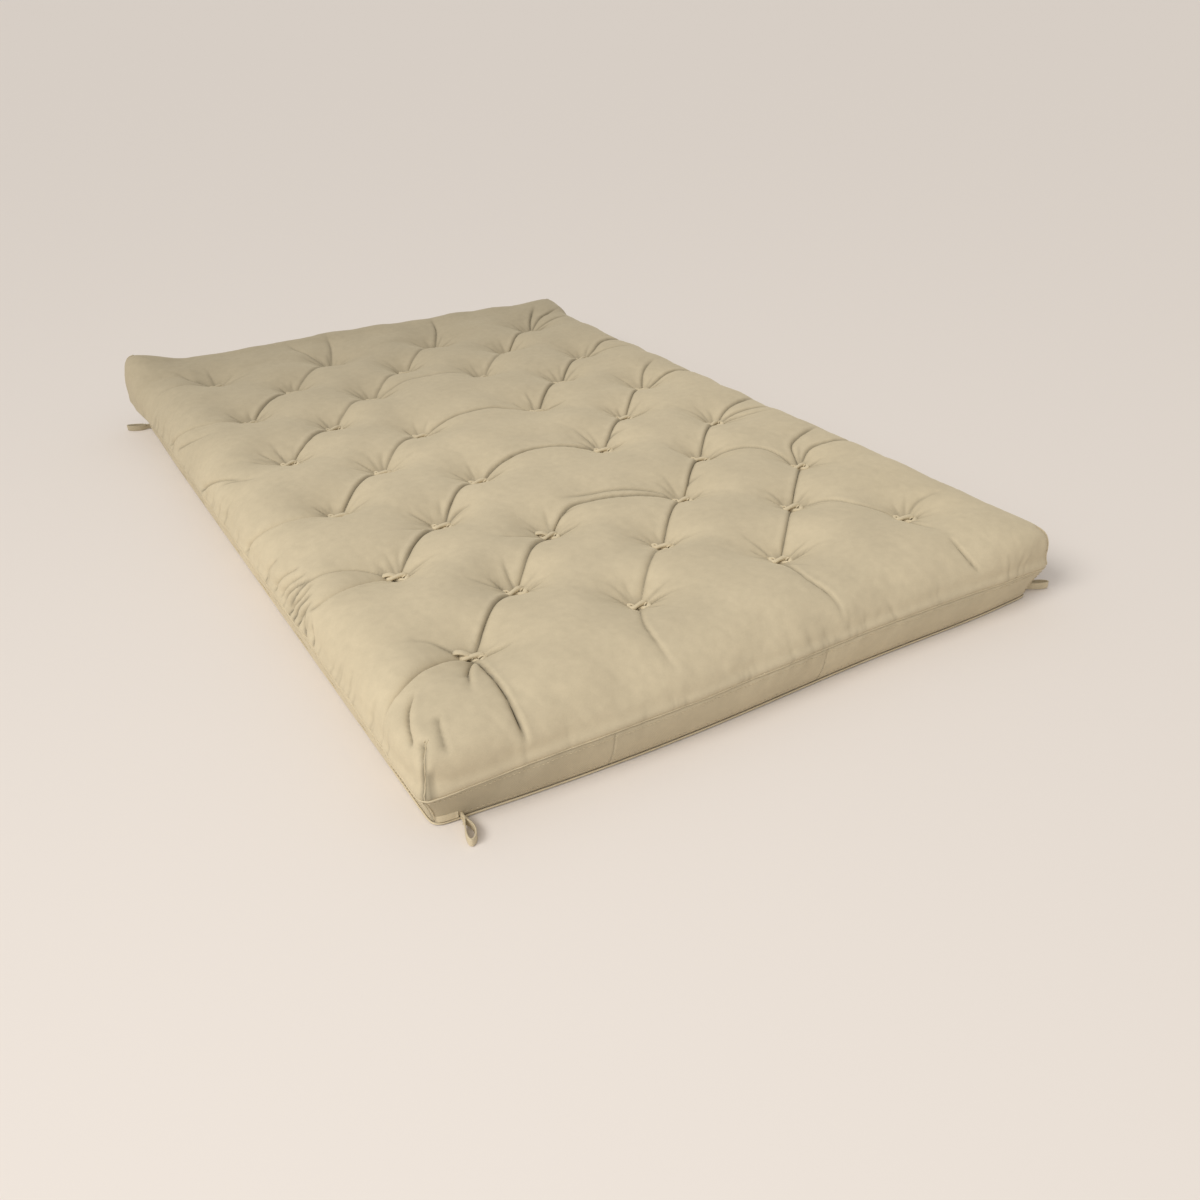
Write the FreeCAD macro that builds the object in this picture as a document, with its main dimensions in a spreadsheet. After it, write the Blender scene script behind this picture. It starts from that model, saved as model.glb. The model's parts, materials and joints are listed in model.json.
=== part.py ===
import FreeCAD, Part
import os
from FreeCAD import Placement, Rotation, Vector
import Sketcher

# A tufted cotton futon mattress.  It lies flat: +X is its width, +Y its length and +Z up, with the origin at the
# centre of its underside.  The cover is an upper shell with turned-down sides, a band of strips round the lower
# edge and a flat bottom panel.  Inside are six layers of carded cotton, held by cords that run through everything
# and end in a knot in a dimple at each face.  A tape loop is sewn to each lower corner.

SIZES = {
    # overall, measured at the horizontal seam, where the sides stand furthest out
    "mattress_width": 1200,
    "mattress_length": 1840,
    "mattress_height": 150,
    # how the sides and corners are shaped
    "side_bulge": 20,
    "seam_height": 72,
    "corner_radius": 40,
    "top_lean": 12,
    "edge_roll": 38,
    "raised_corner": 31,
    "raised_reach": 76,
    "raised_tip": 8,
    # cloth, batting and clearances
    "cover_thickness": 1.2,
    "batting_clearance": 0.3,
    "cord_clearance": 0.4,
    "seam_clearance": 0.3,
    # tufts
    "tuft_pitch_x": 286,
    "tuft_pitch_y": 286,
    "top_dimple_depth": 44,
    "top_dimple_radius": 80,
    "bottom_dimple_depth": 13,
    "bottom_dimple_radius": 50,
    "cord_radius": 2,
    "knot_length": 40,
    "knot_radius": 4.5,
    "knot_waist_radius": 3.2,
    "knot_end_radius": 2.4,
    "knot_room": 3,
    # seams
    "welt_radius": 1.8,
    "piping_radius": 1.5,
    "piping_tuck": 1.2,
    "corner_seam_width": 3,
    "corner_seam_proud": 2.5,
    "closing_left": 317,
    "closing_right": 70,
    # corner loops
    "loop_length": 48,
    "loop_height": 14,
    "tape_thickness": 2,
    "tape_width": 14,
    "loop_floor_gap": 0.5,
    "loop_standoff": 3.2,
}

LAYER_COUNT = 6
ROLL_STEPS = 4
ROW_NAMES = "abcdefghijk"
FULL_ROW = (-1.5, -0.5, 0.5, 1.5)
STAGGERED_ROW = (-1, 0, 1)
OPEN_ROW = (-1, 1)
OPEN_ROW_NAMES = "dfh"
CORNERS = {"front_right": (1, -1), "rear_right": (1, 1), "rear_left": (-1, 1), "front_left": (-1, -1)}
# the compass bearing, in degrees from +X, that each loop points along
LOOP_BEARINGS = {"front_left": 268, "front_right": 346, "rear_right": 88, "rear_left": 166}
CUT_MARGIN = 5
# how many cloth thicknesses the hollow of the raised corner stops below its tip
TIP_INSETS = 3

doc = FreeCAD.newDocument("futon_mattress")
sheet = doc.addObject("Spreadsheet::Sheet", "Sizes")
for row, (alias, value) in enumerate(SIZES.items(), start=1):
    sheet.set(f"A{row}", alias)
    sheet.set(f"B{row}", str(value))
    sheet.setAlias(f"B{row}", alias)
doc.recompute()

exports = {}


def cell(alias):
    """The name by which an expression reads one of the driving sizes."""
    return f"Sizes.{alias}"


def value_of(expression):
    """The number that an expression of the driving sizes gives now."""
    return float(sheet.evalExpression(expression.replace("Sizes.", "")))


WIDTH, LENGTH, HEIGHT = cell("mattress_width"), cell("mattress_length"), cell("mattress_height")
COVER, ROLL, LEAN, BULGE = cell("cover_thickness"), cell("edge_roll"), cell("top_lean"), cell("side_bulge")
SEAM_HEIGHT, CORNER = cell("seam_height"), cell("corner_radius")
CENTRE_X = f"({WIDTH} / 2 - {BULGE} - {CORNER})"
CENTRE_Y = f"({LENGTH} / 2 - {BULGE} - {CORNER})"
CORD_BORE = f"({cell('cord_radius')} + {cell('cord_clearance')})"
SHOULDER = f"({HEIGHT} - {ROLL})"
SEAT_RADIUS = f"({cell('knot_length')} / 2 + {cell('knot_room')})"
TOP_SEAT = f"({HEIGHT} - {cell('top_dimple_depth')})"
BOTTOM_SEAT = cell("bottom_dimple_depth")


def bind(obj, **bindings):
    """Ties properties to expressions; a double underscore stands for a dot in the property's path."""
    for path, expression in bindings.items():
        obj.setExpression(path.replace("__", "."), expression)
    return obj


def place(obj, x="0", y="0", z="0"):
    """Ties an object's position to three expressions."""
    return bind(obj, Placement__Base__x=x, Placement__Base__y=y, Placement__Base__z=z)


def export(obj, node):
    """Marks an object as one of the sub-parts and gives it its name."""
    obj.Label = node
    exports[node] = obj
    return obj


def new_body(name):
    return doc.addObject("PartDesign::Body", name)


def new_sketch(body, name, role="XY_Plane", height=None):
    """A sketch on one of the body's own origin planes, lifted by an expression where one is given."""
    sketch = body.newObject("Sketcher::SketchObject", name)
    plane = next(f for f in body.Origin.OriginFeatures if f.Role == role)
    sketch.AttachmentSupport = (plane, [""])
    sketch.MapMode = "FlatFace"
    if height is not None:
        sketch.setExpression("AttachmentOffset.Base.z", height)
    return sketch


def add_dimension(sketch, name, constraint, expression):
    """A driving dimension of a sketch, tied to an expression."""
    index = sketch.addConstraint(constraint)
    sketch.renameConstraint(index, name)
    sketch.setExpression(f"Constraints.{name}", expression)


def draw_rounded_rectangle(sketch, width, length, radius, tag="outline"):
    """A rounded rectangle centred on the sketch's origin."""
    r = value_of(radius)
    cx, cy = value_of(width) / 2 - r, value_of(length) / 2 - r
    centres = [(-cx, -cy, 180), (cx, -cy, 270), (cx, cy, 0), (-cx, cy, 90)]
    first = sketch.GeometryCount
    up = Vector(0, 0, 1)
    arcs = []
    for x, y, start in centres:
        circle = Part.Circle(Vector(x, y, 0), up, r)
        begin = FreeCAD.Units.Quantity(f"{start} deg").getValueAs("rad").Value
        finish = FreeCAD.Units.Quantity(f"{start + 90} deg").getValueAs("rad").Value
        arcs.append(sketch.addGeometry(Part.ArcOfCircle(circle, begin, finish), False))
    ends = [(-cx, -cy - r), (cx, -cy - r), (cx + r, -cy), (cx + r, cy), (cx, cy + r), (-cx, cy + r)]
    ends += [(-cx - r, cy), (-cx - r, -cy)]
    for k in range(4):
        a, b = ends[2 * k], ends[2 * k + 1]
        line = sketch.addGeometry(Part.LineSegment(Vector(*a, 0), Vector(*b, 0)), False)
        sketch.addConstraint(Sketcher.Constraint("Tangent", arcs[k], 2, line, 1))
        sketch.addConstraint(Sketcher.Constraint("Tangent", line, 2, arcs[(k + 1) % 4], 1))
        sketch.addConstraint(Sketcher.Constraint("Horizontal" if k % 2 == 0 else "Vertical", line))
    for k in range(1, 4):
        sketch.addConstraint(Sketcher.Constraint("Equal", first, arcs[k]))
    sketch.addConstraint(Sketcher.Constraint("Symmetric", arcs[0], 3, arcs[2], 3, -1, 1))
    add_dimension(sketch, f"{tag}_radius", Sketcher.Constraint("Radius", first, r), radius)
    across = Sketcher.Constraint("DistanceX", arcs[0], 3, arcs[1], 3, 2 * cx)
    add_dimension(sketch, f"{tag}_across", across, f"{width} - 2 * {radius}")
    along = Sketcher.Constraint("DistanceY", arcs[1], 3, arcs[2], 3, 2 * cy)
    add_dimension(sketch, f"{tag}_along", along, f"{length} - 2 * {radius}")


def draw_polygon(sketch, points):
    """A closed polygon; each point is a pair of expressions, measured from the sketch's origin."""
    corners = [Vector(value_of(x), value_of(y), 0) for x, y in points]
    count = len(corners)
    lines = []
    for k in range(count):
        segment = Part.LineSegment(corners[k], corners[(k + 1) % count])
        lines.append(sketch.addGeometry(segment, False))
    for k in range(count):
        sketch.addConstraint(Sketcher.Constraint("Coincident", lines[k - 1], 2, lines[k], 1))
    for k, (x, y) in enumerate(points):
        if x == "0":
            sketch.addConstraint(Sketcher.Constraint("PointOnObject", lines[k], 1, -2))
        else:
            across = Sketcher.Constraint("DistanceX", -1, 1, lines[k], 1, corners[k].x)
            add_dimension(sketch, f"corner_{k}_across", across, x)
        if y == "0":
            sketch.addConstraint(Sketcher.Constraint("PointOnObject", lines[k], 1, -1))
        else:
            up = Sketcher.Constraint("DistanceY", -1, 1, lines[k], 1, corners[k].y)
            add_dimension(sketch, f"corner_{k}_up", up, y)


def draw_slot(sketch, start, length, height, middle, tag):
    """A round-ended slot along the sketch's first axis, from start, centred on middle in the second."""
    r = value_of(height) / 2
    x0 = value_of(start) + r
    x1 = value_of(start) + value_of(length) - r
    z = value_of(middle)
    up = Vector(0, 0, 1)
    quarter = FreeCAD.Units.Quantity("90 deg").getValueAs("rad").Value
    near = sketch.addGeometry(Part.ArcOfCircle(Part.Circle(Vector(x0, z, 0), up, r), quarter, 3 * quarter), False)
    far = sketch.addGeometry(Part.ArcOfCircle(Part.Circle(Vector(x1, z, 0), up, r), -quarter, quarter), False)
    low = sketch.addGeometry(Part.LineSegment(Vector(x0, z - r, 0), Vector(x1, z - r, 0)), False)
    high = sketch.addGeometry(Part.LineSegment(Vector(x1, z + r, 0), Vector(x0, z + r, 0)), False)
    for a, end, b in ((near, 2, low), (low, 2, far), (far, 2, high), (high, 2, near)):
        sketch.addConstraint(Sketcher.Constraint("Tangent", a, end, b, 1))
    sketch.addConstraint(Sketcher.Constraint("Horizontal", low))
    sketch.addConstraint(Sketcher.Constraint("Equal", near, far))
    add_dimension(sketch, f"{tag}_radius", Sketcher.Constraint("Radius", near, r), f"{height} / 2")
    begin = Sketcher.Constraint("DistanceX", -1, 1, near, 3, x0)
    add_dimension(sketch, f"{tag}_begin", begin, f"{start} + {height} / 2")
    finish = Sketcher.Constraint("DistanceX", near, 3, far, 3, x1 - x0)
    add_dimension(sketch, f"{tag}_span", finish, f"{length} - {height}")
    level = Sketcher.Constraint("DistanceY", -1, 1, near, 3, z)
    add_dimension(sketch, f"{tag}_level", level, middle)


def outline_at(inset):
    """Width, length and corner radius of the plan outline that lies this far inside the horizontal seam."""
    width = f"({WIDTH} - 2 * ({inset}))"
    length = f"({LENGTH} - 2 * ({inset}))"
    radius = f"({CORNER} + {BULGE} - ({inset}))"
    return width, length, radius


def stacked_block(name, sections):
    """A block whose plan outline changes evenly from one section to the next; each is an inset and a height."""
    body = new_body(name)
    sketches = []
    for k, (inset, height) in enumerate(sections):
        sketch = new_sketch(body, f"{name}_outline_{k}", height=height)
        draw_rounded_rectangle(sketch, *outline_at(inset))
        sketches.append(sketch)
    loft = body.newObject("PartDesign::AdditiveLoft", f"{name}_loft")
    loft.Profile = sketches[0]
    loft.Sections = sketches[1:]
    loft.Ruled = True
    return body


def slab(name, inset, low, thickness):
    """A flat slab with the rounded plan outline."""
    body = new_body(name)
    sketch = new_sketch(body, f"{name}_outline", height=low)
    draw_rounded_rectangle(sketch, *outline_at(inset))
    pad = body.newObject("PartDesign::Pad", f"{name}_pad")
    pad.Profile = sketch
    pad.setExpression("Length", thickness)
    return body


def compound(name, members):
    group = doc.addObject("Part::Compound", name)
    group.Links = members
    return group


def cut(name, base, tool):
    result = doc.addObject("Part::Cut", name)
    result.Base = base
    result.Tool = tool
    return result


def fuse(name, base, tool):
    result = doc.addObject("Part::Fuse", name)
    result.Base = base
    result.Tool = tool
    return result


def common(name, base, tool):
    result = doc.addObject("Part::Common", name)
    result.Base = base
    result.Tool = tool
    return result


def tuft_places():
    """Yields each tuft's row name and its place, as expressions of the two pitches."""
    middle = (len(ROW_NAMES) - 1) / 2
    for index, row_name in enumerate(ROW_NAMES):
        if row_name in OPEN_ROW_NAMES:
            columns = OPEN_ROW
        else:
            columns = STAGGERED_ROW if index % 2 else FULL_ROW
        for column in columns:
            x = f"{cell('tuft_pitch_x')} * {column}"
            y = f"{cell('tuft_pitch_y')} * {(index - middle) / 2}"
            yield row_name, x, y


def cone_at_each_tuft(name, low, height, low_radius, high_radius):
    """One cone on each tuft's axis, as a group."""
    cones = []
    for k, (_, x, y) in enumerate(tuft_places()):
        cone = doc.addObject("Part::Cone", f"{name}_{k}")
        bind(cone, Radius1=low_radius, Radius2=high_radius, Height=height)
        cones.append(place(cone, x, y, low))
    return compound(name, cones)


def bores_at_each_tuft():
    """The cord's hole at each tuft, through the whole height."""
    bores = []
    for k, (_, x, y) in enumerate(tuft_places()):
        bore = doc.addObject("Part::Cylinder", f"cord_bore_{k}")
        bind(bore, Radius=CORD_BORE, Height=f"{HEIGHT} + 2 * {CUT_MARGIN}")
        bores.append(place(bore, x, y, f"-{CUT_MARGIN}"))
    return compound("cord_bores", bores)


def raised_corner(name, inset):
    """The rear left corner's peak of cloth: a leaning pyramid on the top face, shrunk by inset on every side."""
    wedge = doc.addObject("Part::Wedge", name)
    tip = f"({cell('raised_tip')} / 2)"
    foot_x = f"({WIDTH} / 2 - {LEAN} - {ROLL})"
    foot_y = f"({LENGTH} / 2 - {LEAN} - {ROLL})"
    tip_x = f"({WIDTH} / 2 - {BULGE} - {tip})"
    tip_y = f"({LENGTH} / 2 - {BULGE} - {tip})"
    low = f"({HEIGHT} - {inset} - {COVER})"
    high = f"({HEIGHT} + {cell('raised_corner')} - {TIP_INSETS} * {inset})"
    # the wedge's own second axis is its height, so its third axis points along -Y once it is stood up
    bind(
        wedge,
        Xmin=f"-{foot_x} + {inset}",
        Xmax=f"-{foot_x} + {cell('raised_reach')} - {inset}",
        Zmin=f"-{foot_y} + {inset}",
        Zmax=f"-{foot_y} + {cell('raised_reach')} - {inset}",
        X2min=f"-{tip_x} - {tip} + {inset}",
        X2max=f"-{tip_x} + {tip} - {inset}",
        Z2min=f"-{tip_y} - {tip} + {inset}",
        Z2max=f"-{tip_y} + {tip} - {inset}",
        Ymin=low,
        Ymax=high,
    )
    wedge.Placement = Placement(Vector(0, 0, 0), Rotation(Vector(1, 0, 0), 90))
    return wedge


def upper_sections(inward):
    """The upper shell's sections: straight from the seam to the shoulder, then rolled over to the top face."""
    sections = [(inward, SEAM_HEIGHT)]
    for k in range(ROLL_STEPS + 1):
        angle = f"(90 deg * {k} / {ROLL_STEPS})"
        inset = f"({LEAN} + {ROLL} - ({ROLL} - {inward}) * cos({angle}))"
        sections.append((inset, f"({SHOULDER} + ({ROLL} - {inward}) * sin({angle}))"))
    return sections


def build_upper_cover():
    """The upper shell: the top face, dimpled at each tuft, and the sides turned down to the horizontal seam."""
    outer = stacked_block("upper_outer", upper_sections("0"))
    inner = stacked_block("upper_inner", upper_sections(COVER))
    outer = fuse("upper_outer_raised", outer, raised_corner("raised_outer", "0"))
    inner = fuse("upper_inner_raised", inner, raised_corner("raised_inner", COVER))
    shell = cut("upper_shell", outer, inner)
    cups = cone_at_each_tuft(
        "top_cups", f"{TOP_SEAT} - {COVER}", cell("top_dimple_depth"), SEAT_RADIUS, cell("top_dimple_radius")
    )
    hollows = cone_at_each_tuft(
        "top_hollows", TOP_SEAT, cell("top_dimple_depth"), SEAT_RADIUS, cell("top_dimple_radius")
    )
    dimpled = cut("upper_dimpled", fuse("upper_with_cups", shell, cups), hollows)
    export(cut("upper_cover_cut", dimpled, bores), "upper_cover")


def build_bottom_panel():
    """The flat bottom panel, dimpled upwards at each tuft."""
    panel = slab("bottom_slab", BULGE, "0", COVER)
    cups = cone_at_each_tuft(
        "bottom_cups", COVER, BOTTOM_SEAT, cell("bottom_dimple_radius"), SEAT_RADIUS
    )
    hollows = cone_at_each_tuft("bottom_hollows", "0", BOTTOM_SEAT, cell("bottom_dimple_radius"), SEAT_RADIUS)
    dimpled = cut("bottom_dimpled", fuse("bottom_with_cups", panel, cups), hollows)
    export(cut("bottom_panel_cut", dimpled, bores), "bottom_panel")


def build_bands():
    """The strips between the bottom panel and the horizontal seam, which meet at the corners."""
    low_inset = f"{BULGE} * (1 - {COVER} / {SEAM_HEIGHT})"
    outer = stacked_block("band_outer", [(low_inset, COVER), ("0", SEAM_HEIGHT)])
    inner = stacked_block("band_inner", [(f"{low_inset} + {COVER}", COVER), (COVER, SEAM_HEIGHT)])
    ring = cut("band_ring", outer, inner)
    far = f"({CORNER} + {BULGE} + {CUT_MARGIN})"
    x, y = CENTRE_X, CENTRE_Y
    left_join, right_join = f"-{cell('closing_left')}", cell("closing_right")
    regions = {
        "band_front_left": [(f"-{x} - {far}", f"-{y} - {far}"), (left_join, f"-{y} - {far}"), (left_join, f"-{y}")]
        + [(f"-{x}", f"-{y}")],
        "band_front_closing": [(left_join, f"-{y} - {far}"), (right_join, f"-{y} - {far}")]
        + [(right_join, f"-{y}"), (left_join, f"-{y}")],
        "band_front_right": [(right_join, f"-{y} - {far}"), (f"{x} + {far}", f"-{y} - {far}"), (x, f"-{y}")]
        + [(right_join, f"-{y}")],
        "band_right": [(x, f"-{y}"), (f"{x} + {far}", f"-{y} - {far}"), (f"{x} + {far}", f"{y} + {far}"), (x, y)],
        "band_rear": [(x, y), (f"{x} + {far}", f"{y} + {far}"), (f"-{x} - {far}", f"{y} + {far}"), (f"-{x}", y)],
        "band_left": [(f"-{x} - {far}", f"-{y} - {far}"), (f"-{x}", f"-{y}"), (f"-{x}", y)]
        + [(f"-{x} - {far}", f"{y} + {far}")],
    }
    for node, points in regions.items():
        region = new_body(f"{node}_region")
        sketch = new_sketch(region, f"{node}_plan")
        draw_polygon(sketch, points)
        pad = region.newObject("PartDesign::Pad", f"{node}_region_pad")
        pad.Profile = sketch
        pad.setExpression("Length", HEIGHT)
        export(common(f"{node}_common", ring, region), node)


def inset_of_batting(z):
    """How far inside the horizontal seam's outline the batting has to stay at a height."""
    below = f"{BULGE} * max(0; 1 - ({z}) / {SEAM_HEIGHT})"
    above = f"{LEAN} * max(0; min(1; (({z}) - {SEAM_HEIGHT}) / ({SHOULDER} - {SEAM_HEIGHT})))"
    inner_roll = f"(({ROLL} - {COVER}) * cos(45 deg / {ROLL_STEPS}) - {cell('batting_clearance')})"
    rise = f"max(0; ({z}) - {SHOULDER})"
    rolled = f"{ROLL} - sqrt(max(0; {inner_roll} * {inner_roll} - {rise} * {rise}))"
    return f"({below} + {above} + {rolled})"


def build_batting():
    """Six layers of carded cotton, each as wide as the cover leaves it, with the tufts' holes and dimples."""
    clearance = cell("batting_clearance")
    lift = f"({COVER} + {clearance})"
    thickness = f"(({HEIGHT} - 2 * {lift}) / {LAYER_COUNT})"
    top_voids = cone_at_each_tuft(
        "batting_top_voids",
        f"{TOP_SEAT} - {lift}",
        f"{cell('top_dimple_depth')} + {lift}",
        f"{SEAT_RADIUS} + {clearance}",
        f"{cell('top_dimple_radius')} + {lift} * {cell('top_dimple_radius')} / {cell('top_dimple_depth')}",
    )
    bottom_voids = cone_at_each_tuft(
        "batting_bottom_voids",
        "0",
        f"{BOTTOM_SEAT} + {lift}",
        f"{cell('bottom_dimple_radius')} + {lift} * {cell('bottom_dimple_radius')} / {BOTTOM_SEAT}",
        f"{SEAT_RADIUS} + {clearance}",
    )
    for k in range(LAYER_COUNT):
        low = f"({lift} + {thickness} * {k})"
        high = f"({lift} + {thickness} * {k + 1})"
        inset = f"max({inset_of_batting(low)}; {inset_of_batting(high)})"
        layer = slab(f"layer_{k + 1}", inset, low, thickness)
        if value_of(high) > value_of(f"{TOP_SEAT} - {lift}"):
            layer = cut(f"layer_{k + 1}_top_dimples", layer, top_voids)
        if value_of(low) < value_of(f"{BOTTOM_SEAT} + {lift}"):
            layer = cut(f"layer_{k + 1}_bottom_dimples", layer, bottom_voids)
        export(cut(f"layer_{k + 1}_bored", layer, bores), f"batting_layer_{k + 1}")


def add_knot(body, name, level):
    """A tied knot across the cord: a round bar along X with two plump ends and a waist between them."""
    sketch = new_sketch(body, f"{name}_profile", role="XZ_Plane")
    sketch.setExpression("AttachmentOffset.Base.y", level)
    half, quarter = f"{cell('knot_length')} / 2", f"{cell('knot_length')} / 4"
    end, plump, waist = cell("knot_end_radius"), cell("knot_radius"), cell("knot_waist_radius")
    points = [(f"-{half}", "0"), (f"-{half}", end), (f"-{quarter}", plump), ("0", waist)]
    points += [(quarter, plump), (half, end), (half, "0")]
    draw_polygon(sketch, points)
    turned = body.newObject("PartDesign::Revolution", f"{name}_turned")
    turned.Profile = sketch
    turned.ReferenceAxis = (sketch, ["H_Axis"])
    turned.Angle = 360


def build_tufts():
    """Each tuft is one cord with a knot at both ends; the tufts of a row share a node."""
    half_knot = f"({cell('knot_radius')} + {cell('seam_clearance')})"
    top, bottom = f"({TOP_SEAT} + {half_knot})", f"({BOTTOM_SEAT} - {half_knot})"
    body = new_body("tuft")
    outline = new_sketch(body, "tuft_cord_outline", height=bottom)
    radius = value_of(cell("cord_radius"))
    circle = outline.addGeometry(Part.Circle(Vector(0, 0, 0), Vector(0, 0, 1), radius), False)
    outline.addConstraint(Sketcher.Constraint("Coincident", circle, 3, -1, 1))
    add_dimension(outline, "cord", Sketcher.Constraint("Radius", circle, radius), cell("cord_radius"))
    cord = body.newObject("PartDesign::Pad", "tuft_cord")
    cord.Profile = outline
    cord.setExpression("Length", f"{top} - {bottom}")
    add_knot(body, "top_knot", top)
    add_knot(body, "bottom_knot", bottom)
    rows = {row_name: [] for row_name in ROW_NAMES}
    for k, (row_name, x, y) in enumerate(tuft_places()):
        tuft = doc.addObject("App::Link", f"tuft_{k}")
        tuft.LinkedObject = body
        rows[row_name].append(place(tuft, x, y))
    for row_name, tufts in rows.items():
        export(compound(f"tufts_{row_name}", tufts), f"tuft_row_{row_name}")


def build_ring(node, inset, height, radius):
    """A round cord of cloth that follows the plan outline at one height."""
    body = new_body(f"{node}_body")
    path = new_sketch(body, f"{node}_path", height=height)
    draw_rounded_rectangle(path, *outline_at(inset))
    section = new_sketch(body, f"{node}_section", role="XZ_Plane")
    x, z, r = f"{WIDTH} / 2 - ({inset})", height, value_of(radius)
    circle = Part.Circle(Vector(value_of(x), value_of(z), 0), Vector(0, 0, 1), r)
    ring = section.addGeometry(circle, False)
    add_dimension(section, "welt", Sketcher.Constraint("Radius", ring, r), radius)
    add_dimension(section, "out", Sketcher.Constraint("DistanceX", -1, 1, ring, 3, value_of(x)), x)
    add_dimension(section, "up", Sketcher.Constraint("DistanceY", -1, 1, ring, 3, value_of(z)), z)
    pipe = body.newObject("PartDesign::AdditivePipe", f"{node}_pipe")
    pipe.Profile = section
    pipe.Spine = path
    export(body, node)


def build_corner_seam(node, corner, points):
    """A sewn seam that stands on a corner, as a thin upright fin on the corner's diagonal."""
    side_x, side_y = CORNERS[corner]
    body = new_body(f"{node}_body")
    sketch = new_sketch(body, f"{node}_profile", role="XZ_Plane")
    draw_polygon(sketch, points)
    pad = body.newObject("PartDesign::Pad", f"{node}_pad")
    pad.Profile = sketch
    pad.Midplane = True
    pad.setExpression("Length", cell("corner_seam_width"))
    turn = {(1, 1): 45, (-1, 1): 135, (-1, -1): 225, (1, -1): 315}[(side_x, side_y)]
    body.Placement = Placement(Vector(0, 0, 0), Rotation(Vector(0, 0, 1), turn))
    place(body, f"{side_x} * {CENTRE_X}", f"{side_y} * {CENTRE_Y}")
    export(body, node)


def build_corner_seams():
    """The seams at the four corners: one down each corner of the upper cover and one joining the band's strips."""
    gap, proud = cell("seam_clearance"), cell("corner_seam_proud")
    band_low = f"({COVER} + 2 * {cell('piping_radius')} + 2 * {gap})"
    band_high = f"({SEAM_HEIGHT} - {cell('welt_radius')} - {gap})"
    upper_low = f"({SEAM_HEIGHT} + {cell('welt_radius')} + {gap})"
    upper_high = SHOULDER

    def band_reach(z):
        return f"({CORNER} + {BULGE} * {z} / {SEAM_HEIGHT} + {gap})"

    def upper_reach(z):
        return f"({CORNER} + {BULGE} - {LEAN} * ({z} - {SEAM_HEIGHT}) / ({SHOULDER} - {SEAM_HEIGHT}) + {gap})"

    def fin(low, high, reach):
        inner = [(reach(low), low), (reach(high), high)]
        outer = [(f"{reach(high)} + {proud}", high), (f"{reach(low)} + {proud}", low)]
        return inner + outer

    for corner in CORNERS:
        build_corner_seam(f"band_corner_seam_{corner}", corner, fin(band_low, band_high, band_reach))
        build_corner_seam(f"upper_corner_seam_{corner}", corner, fin(upper_low, upper_high, upper_reach))


def build_corner_loop(corner):
    """A loop of tape that stands out from a lower corner: a flattened ring, open across its width."""
    side_x, side_y = CORNERS[corner]
    node = f"corner_loop_{corner}"
    body = new_body(f"{node}_body")
    sketch = new_sketch(body, f"{node}_ring", role="XZ_Plane")
    tape, tall = cell("tape_thickness"), cell("loop_height")
    start = f"({CORNER} + {cell('loop_standoff')})"
    level = f"({cell('loop_floor_gap')} + {tall} / 2)"
    draw_slot(sketch, start, cell("loop_length"), tall, level, "outside")
    inside_length = f"({cell('loop_length')} - 2 * {tape})"
    draw_slot(sketch, f"({start} + {tape})", inside_length, f"({tall} - 2 * {tape})", level, "inside")
    pad = body.newObject("PartDesign::Pad", f"{node}_pad")
    pad.Profile = sketch
    pad.Midplane = True
    pad.setExpression("Length", cell("tape_width"))
    body.Placement = Placement(Vector(0, 0, 0), Rotation(Vector(0, 0, 1), LOOP_BEARINGS[corner]))
    place(body, f"{side_x} * {CENTRE_X}", f"{side_y} * {CENTRE_Y}")
    export(body, node)


def check_and_write():
    """Stops on any failed object or unsound sub-part, and writes each sub-part to its own file."""
    doc.recompute()
    failed = [o.Label for o in doc.Objects if "Invalid" in o.State or "Error" in o.State]
    if failed:
        raise RuntimeError(f"these objects failed: {failed}")
    for node, obj in exports.items():
        shape = obj.Shape
        if shape.isNull() or not shape.isValid() or not shape.Solids:
            raise RuntimeError(f"{node} has no sound solid")
    os.makedirs("parts", exist_ok=True)
    for node, obj in exports.items():
        obj.Shape.exportStep(os.path.join("parts", f"{node}.step"))
        box = obj.Shape.BoundBox
        low = f"{box.XMin:.1f} {box.YMin:.1f} {box.ZMin:.1f}"
        high = f"{box.XMax:.1f} {box.YMax:.1f} {box.ZMax:.1f}"
        print(f"{node}: {len(obj.Shape.Solids)} solid(s), {obj.Shape.Volume / 1000:.1f} cm3, {low} to {high}")


bores = bores_at_each_tuft()
build_upper_cover()
build_bottom_panel()
build_bands()
build_batting()
build_tufts()
welt_inset = f"-({cell('welt_radius')} + {cell('seam_clearance')})"
build_ring("horizontal_seam", welt_inset, SEAM_HEIGHT, cell("welt_radius"))
piping_height = f"({COVER} + {cell('piping_radius')} + {cell('seam_clearance')})"
piping_inset = f"({BULGE} - {cell('piping_radius')} - {cell('piping_tuck')})"
build_ring("bottom_piping", piping_inset, piping_height, cell("piping_radius"))
build_corner_seams()
for corner_name in CORNERS:
    build_corner_loop(corner_name)
check_and_write()
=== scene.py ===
import json
import math

import bpy
import numpy as np
from mathutils import Matrix, Vector


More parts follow.
